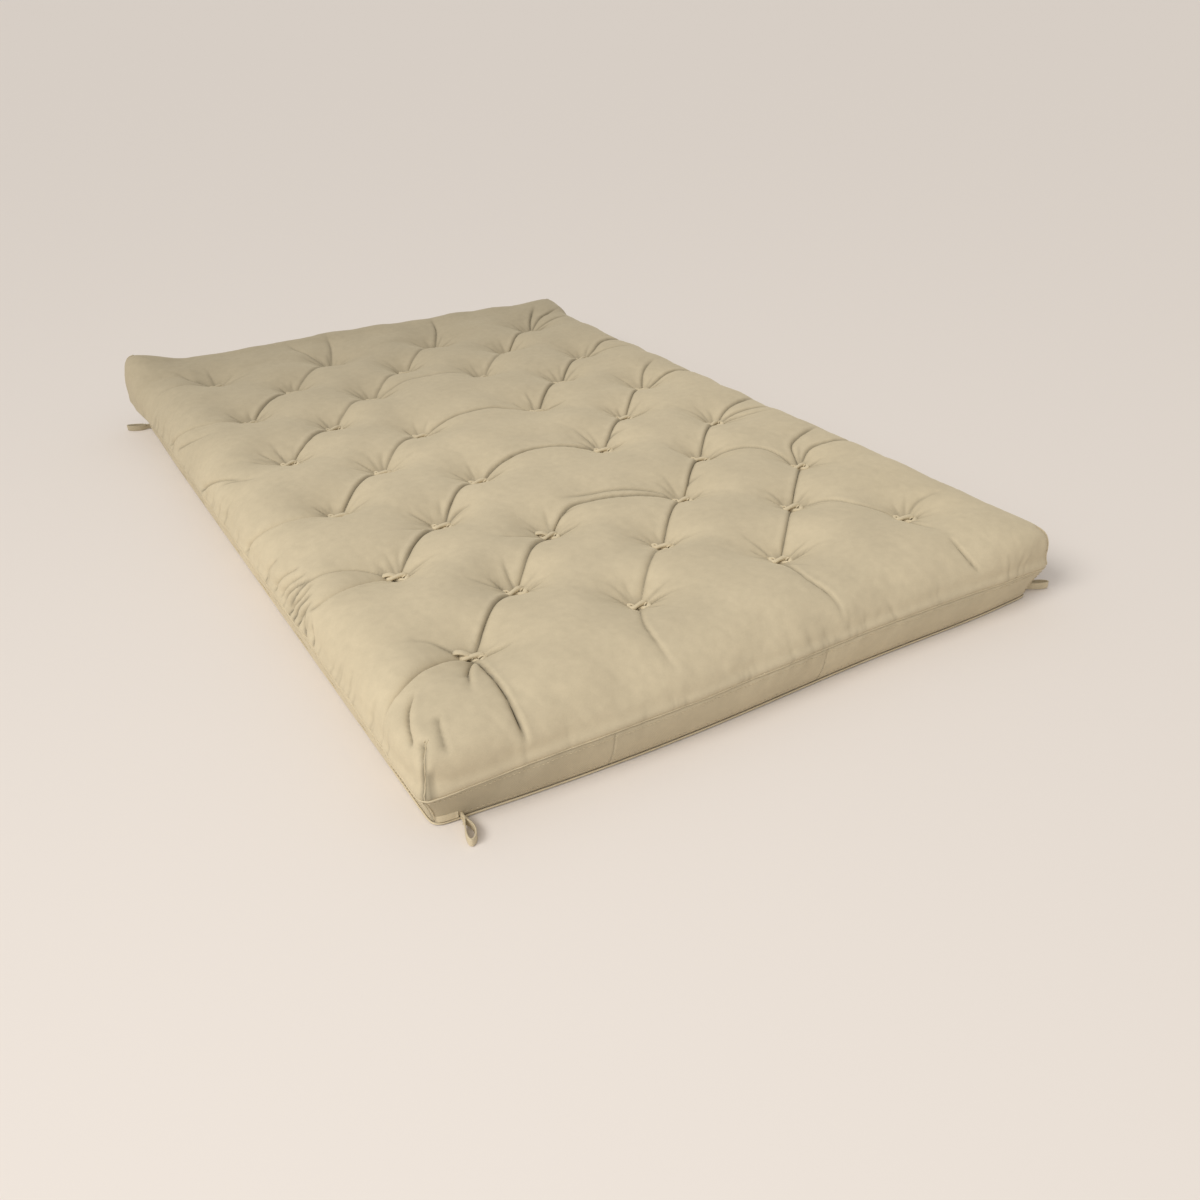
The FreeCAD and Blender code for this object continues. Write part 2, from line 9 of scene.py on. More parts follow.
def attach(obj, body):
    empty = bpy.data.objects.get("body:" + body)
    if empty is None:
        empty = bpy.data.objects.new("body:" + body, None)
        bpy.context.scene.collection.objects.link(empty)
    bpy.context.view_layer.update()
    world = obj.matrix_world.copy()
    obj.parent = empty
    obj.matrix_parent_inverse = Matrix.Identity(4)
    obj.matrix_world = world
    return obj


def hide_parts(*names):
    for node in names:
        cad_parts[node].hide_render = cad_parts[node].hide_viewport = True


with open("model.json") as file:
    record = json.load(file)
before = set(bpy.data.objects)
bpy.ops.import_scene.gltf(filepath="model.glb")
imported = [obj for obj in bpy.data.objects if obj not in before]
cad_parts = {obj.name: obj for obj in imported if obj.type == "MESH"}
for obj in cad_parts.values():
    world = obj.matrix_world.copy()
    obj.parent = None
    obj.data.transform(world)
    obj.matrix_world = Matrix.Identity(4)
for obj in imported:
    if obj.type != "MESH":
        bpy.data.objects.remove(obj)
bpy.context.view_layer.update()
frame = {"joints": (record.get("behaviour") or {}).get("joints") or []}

# All the sizes below are in millimetres, in the CAD frame: +X across, +Y along, +Z up, origin under the middle.
TO_METRES = 0.001
PITCH = 286.0
HALF_PITCH = PITCH / 2
CELLS = 18
CELL = HALF_PITCH / CELLS
GRID_U, GRID_V, GRID_ROLL = 75, 115, 18
REACH_U, REACH_V, ROLL = GRID_U * CELL, GRID_V * CELL, GRID_ROLL * CELL
FLAT_U, FLAT_V = REACH_U - ROLL, REACH_V - ROLL
SIDE_LENGTH, SIDE_ROWS, BAND_ROWS = 57.0, 7, 9
CROWN, SEAM = 153.0, 72.0
HALF_X, HALF_Y = 599.0, 905.0
BAND_LEAN, FLOOR_GAP = 19.0, 1.2
SEAT_DEPTH, SEAT_SPREAD = 42.0, 62.0
BOTTOM_SEAT_DEPTH = 11.0
SEED = 20261
ROW_NAMES = "ABCDEFGHIJK"
TINY = 1e-9


# ---- tufts
def tuft_table():
    """{name: (x, y)} of the tufts, named by row from the front and by place from the left."""
    places = {}
    for k, row in enumerate(ROW_NAMES):
        if k % 2 == 0:
            across = (-1.5, -0.5, 0.5, 1.5)
        elif row in "DFH":  # the rows whose middle tuft is left out
            across = (-1, None, 1)
        else:
            across = (-1, 0, 1)
        for number, step in enumerate(across, start=1):
            if step is not None:
                places[f"{row}{number}"] = (step * PITCH, (k - len(ROW_NAMES) // 2) * HALF_PITCH)
    return places


TUFTS = tuft_table()


# ---- the cover's shape
def smooth(x):
    """A soft step from 0 at x = 0 to 1 at x = 1."""
    x = np.clip(x, 0, 1)
    return x * x * (3 - 2 * x)


def bump(x, middle, width):
    """A bell that is 1 at the middle."""
    return np.exp(-(((x - middle) / width) ** 2))


def unit(rows):
    """Each row as a vector of length 1."""
    return rows / np.maximum(np.linalg.norm(rows, axis=1), TINY)[:, None]


def past_flat(u, v):
    """How far cloth points lie past the flat middle of the top, across and along."""
    return np.maximum(np.abs(u) - FLAT_U, 0), np.maximum(np.abs(v) - FLAT_V, 0)


def corner_turn(p, q):
    """The bearing round a corner of points that lie p and q past the flat: 0 at a side, a quarter turn at an end."""
    return np.where(p >= q, q / np.maximum(p, TINY), 2 - p / np.maximum(q, TINY)) * math.pi / 4


def profile_tables(powers, run, drop, steps=201):
    """The edge roll's superellipse quarters, each resampled to even arc length."""
    angle = np.linspace(0, math.pi / 2, 4000)
    out, down = [], []
    for power in powers:
        h, w = np.sin(angle) ** (2 / power), 1 - np.cos(angle) ** (2 / power)
        arc = np.concatenate([[0], np.cumsum(np.hypot(np.diff(h) * run, np.diff(w) * drop))])
        even = np.linspace(0, arc[-1], steps)
        out.append(np.interp(even, arc, h))
        down.append(np.interp(even, arc, w))
    return np.linspace(0, 1, steps), out, down


POWERS = np.linspace(2.1, 10.1, 11)
PROFILE = profile_tables(POWERS, HALF_X - FLAT_U, CROWN - SEAM)


def profile(tau, power):
    """(how far out, how far down), each 0 to 1, at the share tau of the way round an edge roll."""
    steps, out, down = PROFILE
    at = (np.clip(power, POWERS[0], POWERS[-1]) - POWERS[0]) / (POWERS[1] - POWERS[0])
    h, w = np.zeros_like(tau), np.zeros_like(tau)
    for k in range(len(POWERS)):
        weight = np.clip(1 - np.abs(at - k), 0, 1)
        h += weight * np.interp(tau, steps, out[k])
        w += weight * np.interp(tau, steps, down[k])
    return h, w


def half_length(x, front):
    """How far the seam stands out from the middle at the front and rear edges."""
    bowed = HALF_Y - 6 + 28 * bump(x, -200, 430) + 15 * bump(x, 450, 260)
    straight = HALF_Y - 8 + 8 * bump(x, 0, 420)
    return np.where(front, bowed, straight)


def plan(u, v, share, inset):
    """Where a cloth point lies seen from above: share is how far out it is across the edge strip."""
    p, q = past_flat(u, v)
    turn = corner_turn(p, q)
    c, s = np.cos(turn), np.sin(turn)
    rear_left = smooth((v - 500) / 300) * smooth((-u - 250) / 250)
    square = 3 + (15 + 3 * rear_left) * share**2
    round_off = (c**square + s**square) ** (-1 / square)
    along = half_length(u, v < 0) - FLAT_V - inset
    across = HALF_X - FLAT_U - inset - 4 * bump(v, 880, 200) - 8 * (u > 0) * bump(v, -905, 160)
    x = np.sign(u) * (np.minimum(np.abs(u), FLAT_U) + share * across * round_off * c * (p > 0))
    y = np.sign(v) * (np.minimum(np.abs(v), FLAT_V) + share * along * round_off * s * (q > 0))
    return x, y


def seam_level(x, y):
    """The height of the horizontal seam, which hangs a little lower at the corners."""
    middle = 1 - np.minimum(np.abs(x / HALF_X), np.abs(y / HALF_Y)) ** 4
    return SEAM - 12 + 16 * np.maximum(middle, 0)


def shell(u, v, scale):
    """The smooth cover before its tufts, for cloth points u, v whose edge strip is stretched by scale."""
    p, q = past_flat(u, v)
    tau = np.maximum(p, q) * scale / (ROLL + SIDE_LENGTH)
    turn = corner_turn(p, q)
    corner = bump(np.abs(u), REACH_U, 120) * bump(np.abs(v), REACH_V, 120)
    side_power = np.where(u < 0, 2.7, 3.3)
    end_power = np.where(v < 0, 2.45, 9.0)
    power = side_power * np.cos(turn) ** 2 + end_power * np.sin(turn) ** 2
    power = power + (np.where(v < 0, 5.0, 9.0) - power) * corner
    h, w = profile(tau, power)
    x, y = plan(u, v, h, 0)
    crown = CROWN - 5 * corner * (v < 0) + 3 * smooth((v - 790) / 110) + 6 * smooth((v - 845) / 55)
    # the rear left corner stands up in an ear, and its side bulges out below
    crown = crown + 38 * np.exp(-(np.hypot(u + REACH_U, v - REACH_V) / 85) ** 1.5)
    x = x - 18 * smooth((v - 580) / 260) * (u < 0) * h**2 * 1.9 * w**0.8 * (1 - w) ** 0.4
    level = seam_level(x, y)
    return np.stack([x, y, crown - (crown - level) * w], axis=-1)


def ring_places(n):
    """Grid indices (across, along) of the top's border, round from the front left corner."""
    nu, nv = 2 * GRID_U * n, 2 * GRID_V * n
    across = [*range(nu), *[nu] * nv, *range(nu, 0, -1), *[0] * nv]
    along = [*[0] * nu, *range(nv), *[nv] * nu, *range(nv, 0, -1)]
    return np.array(across), np.array(along)


def cloth_points(n):
    """Cloth coordinates and stretch of the top grid and of the rows of the sides, n times as fine."""
    nu, nv = 2 * GRID_U * n, 2 * GRID_V * n
    u, v = np.meshgrid(np.linspace(-REACH_U, REACH_U, nu + 1), np.linspace(-REACH_V, REACH_V, nv + 1))
    i, j = ring_places(n)
    rows = np.linspace(0, 1, SIDE_ROWS * n + 1)[:, None]
    side_u, side_v = (np.repeat(grid[j, i][None], len(rows), axis=0) for grid in (u, v))
    side_scale = 1 + rows * SIDE_LENGTH / ROLL + 0 * side_u
    return (u, v, np.ones_like(u)), (side_u, side_v, side_scale)


def unrolled(u, v, scale):
    """Where a point of the sides would lie if its cloth were laid out flat round the top."""
    p, q = past_flat(u, v)
    flat_u = np.sign(u) * (np.minimum(np.abs(u), FLAT_U) + p * scale)
    flat_v = np.sign(v) * (np.minimum(np.abs(v), FLAT_V) + q * scale)
    return flat_u, flat_v


# ---- creases
def curve_through(stops, steps=8):
    """Points of a Catmull-Rom curve through its stops."""
    stops = np.array(stops, float)
    ends = [2 * stops[0] - stops[1], *stops, 2 * stops[-1] - stops[-2]]
    t = np.linspace(0, 1, steps, endpoint=False)[:, None]
    line = []
    for a, b, c, d in zip(ends, ends[1:], ends[2:], ends[3:]):
        line.append(b + 0.5 * t * (c - a + t * (2 * a - 5 * b + 4 * c - d + t * (3 * (b - c) + d - a))))
    return np.concatenate([*line, stops[-1:]])


def bowed(a, b, bow):
    """Three stops from a to b whose middle stands bow to the left."""
    a, b = (np.array(TUFTS[end] if isinstance(end, str) else end, float) for end in (a, b))
    along = b - a
    across = np.array([-along[1], along[0]]) / np.hypot(*along)
    return [a, (a + b) / 2 + bow * across, b]


class Relief:
    """What pushes the cover in, pinches it sideways and paints shade into its folds and dimples, gathered crease by
    crease.
    """

    def __init__(self, u, v):
        self.u, self.v = u.ravel(), v.ravel()
        self.seat_depth, self.groove, self.valley, self.lip, self.fold = np.zeros((5, len(self.u)))
        self.calm = np.ones_like(self.u)
        self.pinch = np.zeros((len(self.u), 2))

    def near(self, low, high, margin):
        """Which points lie within a margin of a box."""
        inside = (self.u > low[0] - margin) & (self.u < high[0] + margin)
        inside &= (self.v > low[1] - margin) & (self.v < high[1] + margin)
        return np.flatnonzero(inside)

    def seat(self, x, y):
        """The dimple that a tuft draws the cover down into."""
        at = self.near((x, y), (x, y), 5 * SEAT_SPREAD)
        r = np.hypot(self.u[at] - x, self.v[at] - y)
        self.seat_depth[at] += SEAT_DEPTH * (0.7 * np.exp(-((r / SEAT_SPREAD) ** 1.6)) + 0.3 * np.exp(-((r / 20) ** 2)))
        self.calm[at] = np.minimum(self.calm[at], 1 - np.exp(-((r / 13) ** 4)))
        # painted shade: the dimple's middle is marked in the fold attribute, which the cloth darkens by
        self.fold[at] = np.maximum(self.fold[at], 0.8 * np.exp(-((r / 16) ** 2)))

    def depth(self):
        """How far in the cover is drawn; where folds meet, the deepest counts."""
        return self.seat_depth + self.calm * (self.groove + self.valley - self.lip)

    def crease(self, stops, depth, width, valley=1.5, fade=(0, 0)):
        """A fold line through its stops: a sharp groove with a raised lip on one side, in a shallow valley."""
        line = curve_through([TUFTS[stop] if isinstance(stop, str) else stop for stop in stops])
        along = line[-1] - line[0]
        across = np.array([-along[1], along[0]]) / np.hypot(*along)
        at = self.near(line.min(0), line.max(0), 70)
        point = np.stack([self.u[at], self.v[at]], axis=1)
        best = np.full(len(at), np.inf)
        share, offset = np.zeros(len(at)), np.zeros((len(at), 2))
        for k in range(len(line) - 1):
            leg = line[k + 1] - line[k]
            s = np.clip(((point - line[k]) @ leg) / (leg @ leg), 0, 1)
            gap = point - line[k] - s[:, None] * leg
            d = np.hypot(*gap.T)
            closer = d < best
            best = np.where(closer, d, best)
            share = np.where(closer, (k + s) / (len(line) - 1), share)
            offset = np.where(closer[:, None], gap, offset)
        sign = np.sign(offset @ across)
        strength = np.ones(len(at))
        for from_end, length in zip((share, 1 - share), fade):
            if length:
                strength *= smooth(from_end / length)
        slope = np.where(sign > 0, 0.6 * width, 1.1 * width)
        groove = np.exp(-(np.hypot(best, 1.2) - 1.2) / slope)
        lip = np.exp(-(((best * sign - 2.0 * width) / width) ** 2))
        self.groove[at] = np.maximum(self.groove[at], strength * depth * groove)
        self.lip[at] = np.maximum(self.lip[at], 0.22 * strength * depth * lip)
        self.valley[at] = np.maximum(self.valley[at], strength * valley * np.exp(-((best / 22) ** 2)))
        draw = strength * min(2.2, 0.35 * depth) * (best / width) * np.exp(1 - best / width)
        self.pinch[at] -= offset / np.maximum(best, TINY)[:, None] * draw[:, None]
        # painted shade: the fold line is marked in the fold attribute, which the cloth darkens by
        crease_shade = min(1.0, depth / 8) * strength * np.exp(-((best / 3.4) ** 2))
        self.fold[at] = np.maximum(self.fold[at], crease_shade)


# Folds that run slantwise from one tuft to the next: names, how far the line bows to its left, depth, width.
SLANT_FOLDS = [
    ("A1", "B1", 4, 9, 3.6), ("B1", "C2", 2, 7, 5), ("A2", "B2", 1, 5, 6), ("B2", "C3", 3, 7, 4.4),
    ("C3", "D3", 0, 9, 3.8), ("D3", "E4", 2, 9, 3.8), ("A3", "B3", -2, 7, 4.2), ("B3", "C4", -2, 8, 4),
    ("C1", "D1", 3, 9, 3.6), ("D1", "E2", 4, 8, 3.6), ("E1", "F1", 1, 8, 3.8), ("F1", "G2", 3, 5, 4.4),
    ("E3", "F3", -2, 8, 4), ("F3", "G4", 0, 7, 4), ("G1", "H1", 1, 7, 4), ("H1", "I2", 1, 4, 4.6),
    ("I2", "J2", 0, 4, 4.6), ("J2", "K3", 0, 4, 4.6), ("G3", "H3", 1, 8, 4), ("H3", "I4", 1, 8, 4),
    ("I1", "J1", 2, 7, 4.2), ("J1", "K2", 0, 4, 4.6), ("I3", "J3", -2, 4, 4.6), ("J3", "K4", 1, 7, 4.2),
]

# The other folds, by the tufts and places that they pass: stops, depth, width, fade at each end.
FREE_FOLDS = [
    (("C2", (-86, -388), (-30, -388), (60, -408), "C3"), 9, 4.4, 0, 0),
    (((-92, -354), (-10, -366), (80, -390), (122, -408)), 4.5, 5, 0.3, 0.2),
    (("C2", (-96, -398), (-58, -404)), 5, 4, 0, 0.6),
    (("E2", (-78, -122), (-10, -114), (70, -126), "E3"), 9, 4.2, 0, 0),
    (("G2", (-70, 154), (0, 158), (75, 150), "G3"), 6, 5.5, 0, 0),
    (("D3", (372, -334), "C4"), 5, 5, 0, 0),
    (("I2", (-70, 440), (20, 444), "I3"), 3, 6, 0, 0.3),
    (("A1", (-475, -722), (-520, -738), (-562, -757), (-590, -768), (-628, -790)), 13, 6.4, 0, 0.3),
    (("A1", (-440, -790), (-445, -850), (-449, -900), (-449, -950)), 9, 3.6, 0, 0.25),
    (("A1", (-462, -770), (-500, -846)), 11, 5, 0, 0.6),
    (((-548, -782), (-570, -822), (-584, -858), (-596, -892)), 12, 6.4, 0.3, 0.25),
    (((-548, -856), (-558, -886), (-572, -922)), 4.5, 3.4, 0.25, 0.3),
    (((-578, -888), (-592, -906), (-606, -922)), 12, 3.2, 0.2, 0.3),
    (((-594, -922), (-617, -946), (-642, -972)), 5, 9, 0.4, 0),
    (((-580, -897), (-597, -916), (-622, -941), (-649, -968)), 9, 3, 0.1, 0),
    (("A1", (-455, -692), (-485, -672), (-530, -655)), 4, 6, 0, 0.7),
    (("A2", (-170, -762), (-195, -812), (-205, -870), (-203, -930)), 4.5, 4.6, 0, 0.5),
    (("A3", (112, -770), (101, -828), (109, -885), (109, -955)), 5, 4.6, 0, 0.35),
    (("A3", (125, -765), (140, -820)), 4, 5, 0, 0.7),
    (("A4", (404, -770), (402, -830)), 3.5, 6, 0, 0.4),
    (((402, -840), (398, -900), (410, -945)), 5, 4, 0.3, 0.35),
    (("A4", (478, -700), (545, -712)), 4, 8, 0, 0.6),
    (("B3", (334, -610), (364, -662), "A4"), 4, 5.5, 0.2, 0),
    (("C1", (-490, -445), (-540, -458), (-580, -458), (-612, -448)), 12, 5.6, 0, 0.3),
    (("C1", (-480, -400), (-530, -392), (-572, -388), (-608, -382), (-650, -366)), 8, 5, 0, 0.2),
    (((-556, -402), (-596, -402), (-630, -386), (-654, -372)), 13, 7, 0.4, 0.1),
    (((-584, -270), (-618, -252), (-652, -246)), 9, 5, 0.5, 0.1),
    (((-566, -336), (-602, -314), (-648, -294)), 10, 5, 0.4, 0.2),
    (((-562, -368), (-598, -348), (-642, -326)), 10, 5, 0.4, 0.2),
    (((-560, -388), (-596, -370), (-636, -348)), 8, 4.6, 0.4, 0.2),
    (((-572, -428), (-612, -414), (-654, -398)), 9, 4.6, 0.4, 0.1),
    (((-584, -442), (-620, -430), (-656, -418)), 9, 4.6, 0.4, 0.1),
    (((-592, -440), (-634, -444), (-652, -466)), 9, 4.8, 0.4, 0.1),
    (((-606, -470), (-632, -486), (-656, -500)), 7, 4.8, 0.5, 0.1),
    (("C1", (-388, -428), (-345, -428)), 4, 6, 0, 0.7),
    (("D1", (-245, -272), (-212, -278)), 5.5, 4, 0, 0.6),
    (("D1", (-332, -310), (-390, -318)), 4.5, 5, 0, 0.6),
    (("C2", (-200, -436), (-262, -425)), 5.5, 4.5, 0, 0.6),
    (("C3", (180, -398), (222, -398)), 5, 5, 0, 0.6),
    (("E1", (-480, -160), (-535, -162), (-580, -153), (-618, -140), (-650, -120)), 12, 5.4, 0, 0.15),
    (("E3", (185, -114), (228, -118)), 5.5, 4, 0, 0.6),
    (("E3", (128, -95), (118, -50)), 4.5, 6, 0, 0.7),
    (("G1", (-480, 132), (-520, 150)), 6, 5, 0, 0.6),
    (((-540, 62), (-584, 125), (-624, 172), (-650, 205)), 10, 5, 0.4, 0.2),
    (((-520, 40), (-560, 78), (-600, 110)), 4, 4.6, 0.4, 0.4),
    (("I1", (-500, 402), (-560, 420), (-612, 455), (-650, 500)), 10, 5, 0, 0.2),
    (((-530, 330), (-590, 375), (-640, 430)), 4.5, 4.6, 0.4, 0.3),
    (("K1", (-480, 742), (-520, 812)), 4.5, 7, 0, 0.6),
    (("K1", (-520, 700), (-600, 690)), 4, 7, 0, 0.6),
    (("C4", (453, -372), (500, -345), (575, -318)), 7, 4.6, 0, 0.25),
    (("C4", (480, -398), (530, -402), (600, -414)), 7, 4.2, 0, 0.2),
    (("E4", (485, -118), (595, -86)), 7, 4.2, 0, 0.25),
    (("E4", (495, -148), (600, -162)), 6, 4.6, 0, 0.25),
    (("E4", (480, -172), (575, -205)), 4, 5, 0, 0.5),
    (("G4", (470, 146), (520, 152), (600, 142)), 8, 4.4, 0, 0.2),
    (("G4", (470, 200), (540, 250)), 6, 4.6, 0, 0.4),
    (("G4", (402, 178), (380, 214)), 5, 4.6, 0, 0.6),
    (("I4", (470, 440), (520, 470), (600, 480)), 7, 4.6, 0, 0.2),
    (("I4", (486, 410), (585, 380)), 4.5, 5, 0, 0.5),
    (("K4", (468, 780), (520, 850)), 7, 4.6, 0, 0.4),
    (("K4", (500, 770), (580, 825)), 6, 4.6, 0, 0.4),
    (("K4", (500, 722), (590, 742)), 5, 5, 0, 0.4),
    (("K3", (186, 800), (206, 885)), 5, 5, 0, 0.4),
    (("K2", (-112, 800), (-96, 885)), 4, 6, 0, 0.4),
    (("K2", (-190, 800), (-214, 880)), 4, 6, 0, 0.5),
]


# Slack cloth in short upright wrinkles that start at the seam, along the sides and then along the ends:
# how many, the seam's place, how far to both sides of the middle, the longest, ranges of depth and width.
SLACK = [(44, 655, 860, 80, (1.0, 2.6), (4, 7)), (30, 973, 560, 70, (0.8, 2.0), (4, 8))]


def add_creases(relief):
    """All the folds of the top and the sides."""
    draws = np.random.default_rng(SEED + 1)
    for x, y in TUFTS.values():
        relief.seat(x, y)
    for a, b, bow, depth, width in SLANT_FOLDS:
        relief.crease(bowed(a, b, bow), depth, width)
    for stops, depth, width, start, end in FREE_FOLDS:
        relief.crease(stops, depth, width, fade=(start, end))
    # gathers: short folds that fan out from every tuft
    for x, y in TUFTS.values():
        turn = draws.uniform(0, 2 * math.pi)
        for k in range(11):
            angle = turn + (k + draws.uniform(-0.3, 0.3)) * 2 * math.pi / 11
            reach, depth = draws.uniform(34, 92), draws.uniform(1.6, 4.2)
            end = (x + reach * math.cos(angle), y + reach * math.sin(angle))
            start = (x + 5 * math.cos(angle), y + 5 * math.sin(angle))
            relief.crease(bowed(start, end, draws.uniform(-4, 4)), depth, draws.uniform(2.8, 4.6), 0.4, (0, 0.9))
        # two longer ones to the sides, which turn up towards the rear like a smile
        for side in (-1, 1):
            reach, rise = draws.uniform(42, 74), draws.uniform(4, 16)
            end = (x + side * 0.86 * reach + 0.5 * rise, y - side * 0.51 * reach + 0.86 * rise)
            relief.crease(bowed((x, y), end, -side * draws.uniform(2, 6)), draws.uniform(7, 11), 4, 1, (0, 0.75))
    for side in (-1, 1):
        for axis, (count, edge, reach, longest, deepest, widest) in enumerate(SLACK):
            for _ in range(count):
                place, length = draws.uniform(-reach, reach), draws.uniform(25, longest)
                foot, tip = (side * edge, place), (side * (edge - length), place + draws.uniform(-14, 14))
                stops = [foot[::-1], tip[::-1]] if axis else [foot, tip]
                relief.crease(stops, draws.uniform(*deepest), draws.uniform(*widest), 0, (0, 0.8))


def draw_waves(draws, shortest, longest, count):
    """Random waves, each as (length, heading, phase)."""
    full_turn = 2 * math.pi
    return [
        (draws.uniform(shortest, longest), draws.uniform(0, full_turn), draws.uniform(0, full_turn))
        for _ in range(count)
    ]


rng = np.random.default_rng(SEED)
WAVES, CRUMPLES = draw_waves(rng, 70, 320, 26), draw_waves(rng, 16, 46, 22)


def sum_of_waves(u, v, waves):
    """The waves added up at each place, kept near 1 in size however many they are."""
    total = np.zeros_like(u)
    for length, heading, phase in waves:
        total += np.sin(2 * math.pi * (u * math.cos(heading) + v * math.sin(heading)) / length + phase)
    return total / math.sqrt(len(waves))


def lumps(u, v):
    """Low swells of the batting and the cloth's own small unevenness; positive is outward."""
    gentle = sum_of_waves(u, v, WAVES)
    small = sum_of_waves(u + 9 * gentle, v - 7 * gentle, CRUMPLES)
    return 2.0 * gentle + 0.22 * small


# ---- mesh helpers
def grid_faces(nu, nv, start=0):
    """Quads of a grid of nu by nv cells whose first vertex has the index start."""
    index = start + np.arange((nu + 1) * (nv + 1)).reshape(nv + 1, nu + 1)
    return np.stack([index[:-1, :-1], index[:-1, 1:], index[1:, 1:], index[1:, :-1]], axis=-1).reshape(-1, 4)


def strip_faces(rows, closed=True):
    """Quads between rows of vertex indices, each row lower than the one before it."""
    after = np.roll(rows, -1, axis=1) if closed else rows[:, 1:]
    before = rows if closed else rows[:, :-1]
    return np.stack([before[1:], after[1:], after[:-1], before[:-1]], axis=-1).reshape(-1, 4)


def vertex_normals(points, faces):
    """The outward unit normal at each point of a mesh of quads."""
    normal = np.cross(points[faces[:, 2]] - points[faces[:, 0]], points[faces[:, 3]] - points[faces[:, 1]])
    total = np.zeros_like(points)
    for k in range(4):
        np.add.at(total, faces[:, k], normal)
    return unit(total)


def add_object(name, data):
    """A new object in the scene."""
    thing = bpy.data.objects.new(name, data)
    bpy.context.scene.collection.objects.link(thing)
    return thing


def add_piece(mesh, material, nodes=(), body="mattress"):
    """A visible piece that rides on its body and stands for its CAD nodes."""
    mesh.shade_smooth()
    mesh.materials.append(material)
    piece = add_object(mesh.name, mesh)
    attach(piece, body)
    if nodes:
        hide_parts(*nodes)
    return piece


def new_mesh(name, points, faces, fold=None):
    """A mesh from points in millimetres and quads."""
    mesh = bpy.data.meshes.new(name)
    mesh.vertices.add(len(points))
    mesh.vertices.foreach_set("co", (points * TO_METRES).ravel())
    mesh.loops.add(faces.size)
    mesh.loops.foreach_set("vertex_index", faces.ravel().astype(np.int32))
    mesh.polygons.add(len(faces))
    mesh.polygons.foreach_set("loop_start", np.arange(0, faces.size, 4, dtype=np.int32))
    mesh.update(calc_edges=True)
    # fold carries painted shade, kept as a point attribute that the cloth materials darken by
    if fold is not None:
        mesh.attributes.new("fold", "FLOAT", "POINT").data.foreach_set("value", np.asarray(fold, np.float32))
    mesh.validate()
    return mesh


# ---- the shell in full
def build_shell(n):
    """Every row of the closed shell: top grid, sides, band and bottom, with the top's folds in place."""
    top, side = cloth_points(n)
    i, j = ring_places(n)
    nu, nv = 2 * GRID_U * n, 2 * GRID_V * n
    top_count, ring = (nu + 1) * (nv + 1), len(i)
    u, v, scale = (np.concatenate([a.ravel(), b[1:].ravel()]) for a, b in zip(top, side))
    points = shell(u, v, scale)
    border = j * (nu + 1) + i
    rows = np.concatenate([border[None], top_count + np.arange(SIDE_ROWS * n * ring).reshape(-1, ring)])
    faces = np.concatenate([grid_faces(nu, nv), strip_faces(rows)])
    flat_u, flat_v = unrolled(u, v, scale)
    relief = Relief(flat_u, flat_v)
    add_creases(relief)
    normal = vertex_normals(points, faces)
    p, q = past_flat(u, v)
    tau = np.maximum(p, q) * scale / (ROLL + SIDE_LENGTH)
    hold = 1 - smooth((tau - 0.86) / 0.14)
    push = lumps(flat_u, flat_v) * (0.4 + 0.6 * hold) - relief.depth() * (0.35 + 0.65 * hold)
    push += 3.0 * bump(tau, 0.965, 0.03) - 1.0 * bump(tau, 0.89, 0.04)
    along_u = np.stack([normal[:, 2], 0 * u, -normal[:, 0]], axis=1)
    along_v = np.stack([0 * u, normal[:, 2], -normal[:, 1]], axis=1)
    pinch = relief.pinch * hold[:, None]
    points = points + normal * push[:, None]
    points += along_u * pinch[:, :1] + along_v * pinch[:, 1:]
    # the bottom: the same grid, drawn in under the band and dimpled by the tufts
    s = np.maximum(p, q)[:top_count] / ROLL
    bx, by = plan(u[:top_count], v[:top_count], s, BAND_LEAN)
    lift = np.zeros(top_count)
    for x, y in TUFTS.values():
        lift += BOTTOM_SEAT_DEPTH * np.exp(-(np.hypot(bx - x, by - y) / 30) ** 1.3)
    lift += 4.5 * smooth((s - 0.9) / 0.1) ** 2
    bottom = np.stack([bx, by, FLOOR_GAP + lift], axis=1)
    # the band: from the seam to the bottom's border, bellied out a little and puckered along both seams
    seam, foot = points[rows[-1]], bottom[border]
    outward = unit(normal[rows[-1]] * [1, 1, 0])
    share = np.linspace(0, 1, BAND_ROWS * n + 1)[:, None]
    run = np.arange(ring) / n * CELL
    pucker = 0.9 * np.sin(run / 6.1 + 2 * np.sin(run / 47)) * (0.55 + 0.45 * np.sin(run / 83))
    drag = 1.6 * np.sin(run / 26 + 2.4 * share + 1.5 * np.sin(run / 131))
    belly = 4.0 * np.sin(math.pi * share**0.8) + drag * np.sin(math.pi * share)
    gathered = np.exp(-share / 0.14) * share / 0.05 + 0.7 * np.exp(-(1 - share) / 0.12)
    belly = belly + pucker * gathered * (1 - share)
    corner = bump(np.abs(seam[:, 0]), HALF_X, 110) * bump(np.abs(seam[:, 1]), HALF_Y, 110)
    belly = belly * (1 - corner) - 4.0 * corner * np.sin(math.pi * share)
    band = seam + (foot - seam) * share[..., None] + outward * belly[..., None]
    band[..., 2] = seam[:, 2] + (foot - seam)[:, 2] * share**0.92
    return {
        "points": points, "faces": faces, "rows": rows, "nu": nu, "nv": nv, "ring": ring, "fold": relief.fold,
        "top_count": top_count, "bottom": bottom, "band": band, "border": border, "outward": outward,
        "flat": np.stack([flat_u, flat_v], axis=1), "hold": hold,
    }


# ---- the cloth simulation
SIM_FRAMES, SIM_CAP, SIM_CALMING = 14, 5.0, 6


